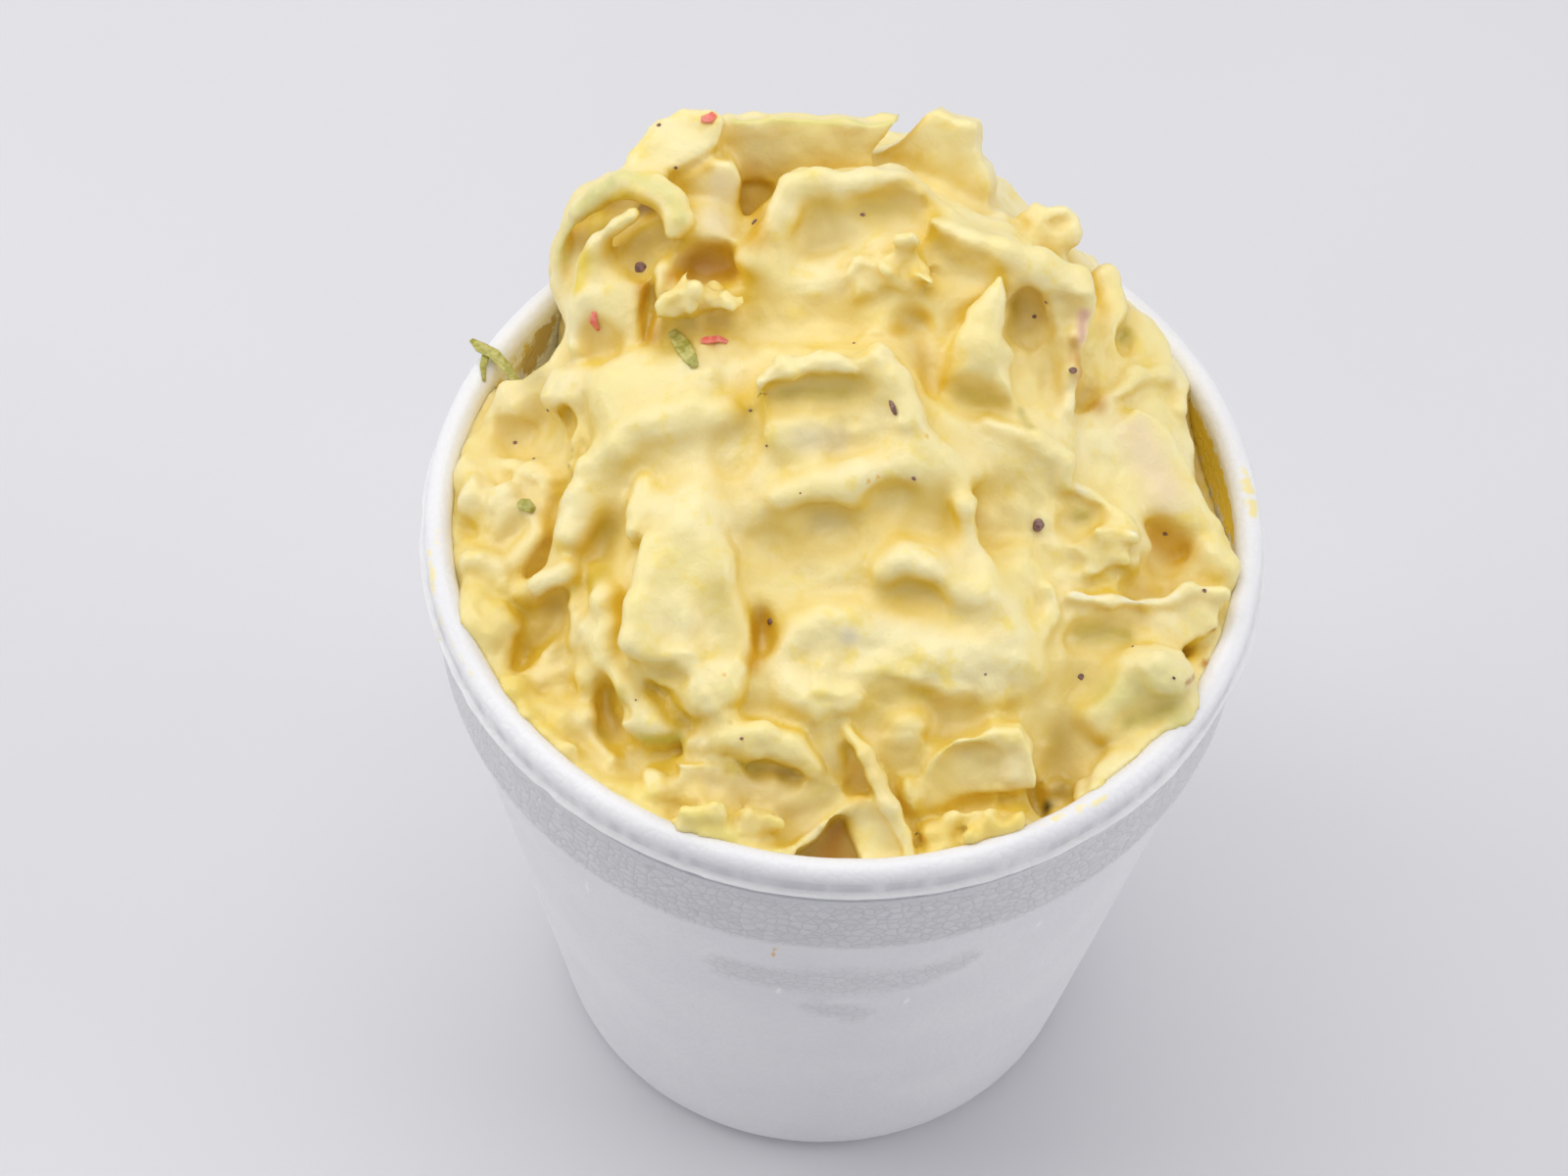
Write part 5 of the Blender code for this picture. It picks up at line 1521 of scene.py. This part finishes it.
# Relief of the salad: sizes in millimetres of patches, lumps, fine lumps and grains, and their heights
PATCH_SIZE = 9.0
LUMP_SIZE, LUMP_HEIGHT, ROUGH_LUMP_HEIGHT = 3.6, 0.35, 0.75
FINE_LUMP_SIZE, FINE_LUMP_HEIGHT = 1.5, 0.28
GRAIN_SIZE, GRAIN_HEIGHT = 0.85, 0.05
LUMP_LEVEL = 0.6
DRIFT_SIZE, DRIFT = 6.0, 0.6

# The relief fades in over FREE_RISE above a level in the cup, and with the distance from the wall
FREE_DEPTH, FREE_RISE, FREE_FROM_WALL = 6, 4, 1.2

# Painted shade, deep gold in hollows: how far the field is read out from the surface, with weights, and how
# the creases between lumps and steep faces, which face away from the light above, add to it
SHADE_LOOKS = ((1.2, 0.35), (2.4, 0.35), (4.5, 0.30))
SHADE_GAIN, SHADE_START = 1.5, 0.2
CREASE_SHADE, STEEP_SHADE, STEEP_SHADE_FROM = 0.25, 0.3, 0.62


def hollowness(field, points, normals):
    """How sheltered points are, from 0 in the open to 1 in deep hollows."""
    hollow = 0
    for reach, weight in SHADE_LOOKS:
        hollow = hollow + weight * np.clip(1 - field.read(points + normals * reach) / reach, 0, 1)
    return hollow


def freedom(points):
    """Share of the relief that points take."""
    above = points[:, 2] - RIM_Z
    wall = inner_radius(np.minimum(points[:, 2], RIM_Z - 2)) - GAP
    from_wall = wall - np.hypot(points[:, 0], points[:, 1])
    free = np.clip((above + FREE_DEPTH) / FREE_RISE, 0, 1)
    return free * np.clip(np.maximum(from_wall, above / 2) / FREE_FROM_WALL, 0, 1)


def roughened(points, normals, lumps):
    """Points moved out or in by the relief, and a little sideways."""
    uneven = np.clip(0.5 + lattice_noise(points, PATCH_SIZE, 17), 0, 1)
    relief = (lumps - LUMP_LEVEL) * (LUMP_HEIGHT + ROUGH_LUMP_HEIGHT * uneven)
    relief += (rounded_lumps(points, FINE_LUMP_SIZE, 12) - LUMP_LEVEL) * FINE_LUMP_HEIGHT * uneven
    relief += lattice_noise(points, GRAIN_SIZE, 13) * GRAIN_HEIGHT
    drift = np.stack([lattice_noise(points, DRIFT_SIZE, seed) for seed in (14, 15, 16)], 1) * DRIFT
    return points + (normals * relief[:, None] + drift) * freedom(points)[:, None]


def build_salad():
    heap = Heap()
    for region in REGIONS:
        heap.add_rows(region)
    heap.add_back()
    heap.cut_wall_hollows()
    keep_inside(heap.field)
    points, quads = surface_net(heap.field)
    normals = heap.field.normals(points)
    lumps = rounded_lumps(points, LUMP_SIZE, 11)
    # Painted shade: deep in sheltered hollows, in the creases between lumps and on steep faces
    hollow = SHADE_GAIN * hollowness(heap.field, points, normals) - SHADE_START
    hollow += CREASE_SHADE * np.clip(LUMP_LEVEL - lumps, 0, 1)
    hollow += STEEP_SHADE * np.clip(STEEP_SHADE_FROM - normals[:, 2], 0, 1)
    points = roughened(points, normals, lumps)
    paint = Paint(points)
    paint.normals = normals
    paint.add_rows(SALAD_STAINS_AND_SHADE)
    closed, faces = close_below(points, fine_quads(quads, points))
    added = len(closed) - len(points)
    made = new_mesh("salad_heap", closed, faces)
    # The painted shade goes to the material in the hollow attribute
    add_values(made, "hollow", np.pad(np.clip(hollow, 0, 1), (0, added)))
    add_values(made, "tint", np.pad(paint.tint, ((0, added), (0, 0))))
    made.data.materials.append(salad_material())
    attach(made, "root")
    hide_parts("potato_salad")
    return paint


def build_cup():
    made, points = cup_mesh()
    radius = np.hypot(points[:, 0], points[:, 1])
    paint = Paint(points)
    # Stains on the inner wall, and painted shade in its left back crevice
    paint.add_rows(WALL_STAINS_AND_SHADE)
    below_rim = np.clip((WALL_PAINT_TOP - points[:, 2]) / WALL_PAINT_FADE, 0, 1)
    paint.tint[:, 3] *= below_rim * (radius < WALL_PAINT_RADIUS)
    paint.add_rows(OUTSIDE_STAINS)
    add_values(made, "tint", paint.tint)
    patch = Paint(points)
    for knots in CELL_PATCH:
        patch.streak(knots, (1, 1, 1), PATCH_BEADS, edge=0.5)
    beads = np.where(stretch_of(points, *BAND), 1.0, BODY_BEADS)
    add_values(made, "cells", np.maximum(beads, patch.tint[:, 3]))
    # Painted shade on the lip's outer side, in vertical streaks, and in the groove under the lip
    streaks = np.clip(0.6 + lattice_noise(points * (1, 1, 0.15), 1.1, 8), 0, 1)
    painted_lip_shade = 0.9 * ring_round(points, *LIP_SIDE_SHADE) * streaks + stretch_of(points, *GROOVE_SHADE)
    add_values(made, "painted_lip_shade", np.clip(painted_lip_shade, 0, 1))
    # Painted highlight on the mould line, and lighter lines along the edges of ledge and band
    edges = ring_round(points, *LEDGE_EDGE) + ring_round(points, *BAND_EDGE)
    add_values(made, "highlight_and_edge_lines", np.clip(ring_round(points, *MOULD_LINE_HIGHLIGHT) + 0.6 * edges, 0, 1))
    made.data.materials.append(foam_material())
    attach(made, "root")
    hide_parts("foam_cup")


def main():
    paint = build_salad()
    build_cup()
    add_bits(paint)
    add_stage()
    add_lights()
    add_camera()


main()
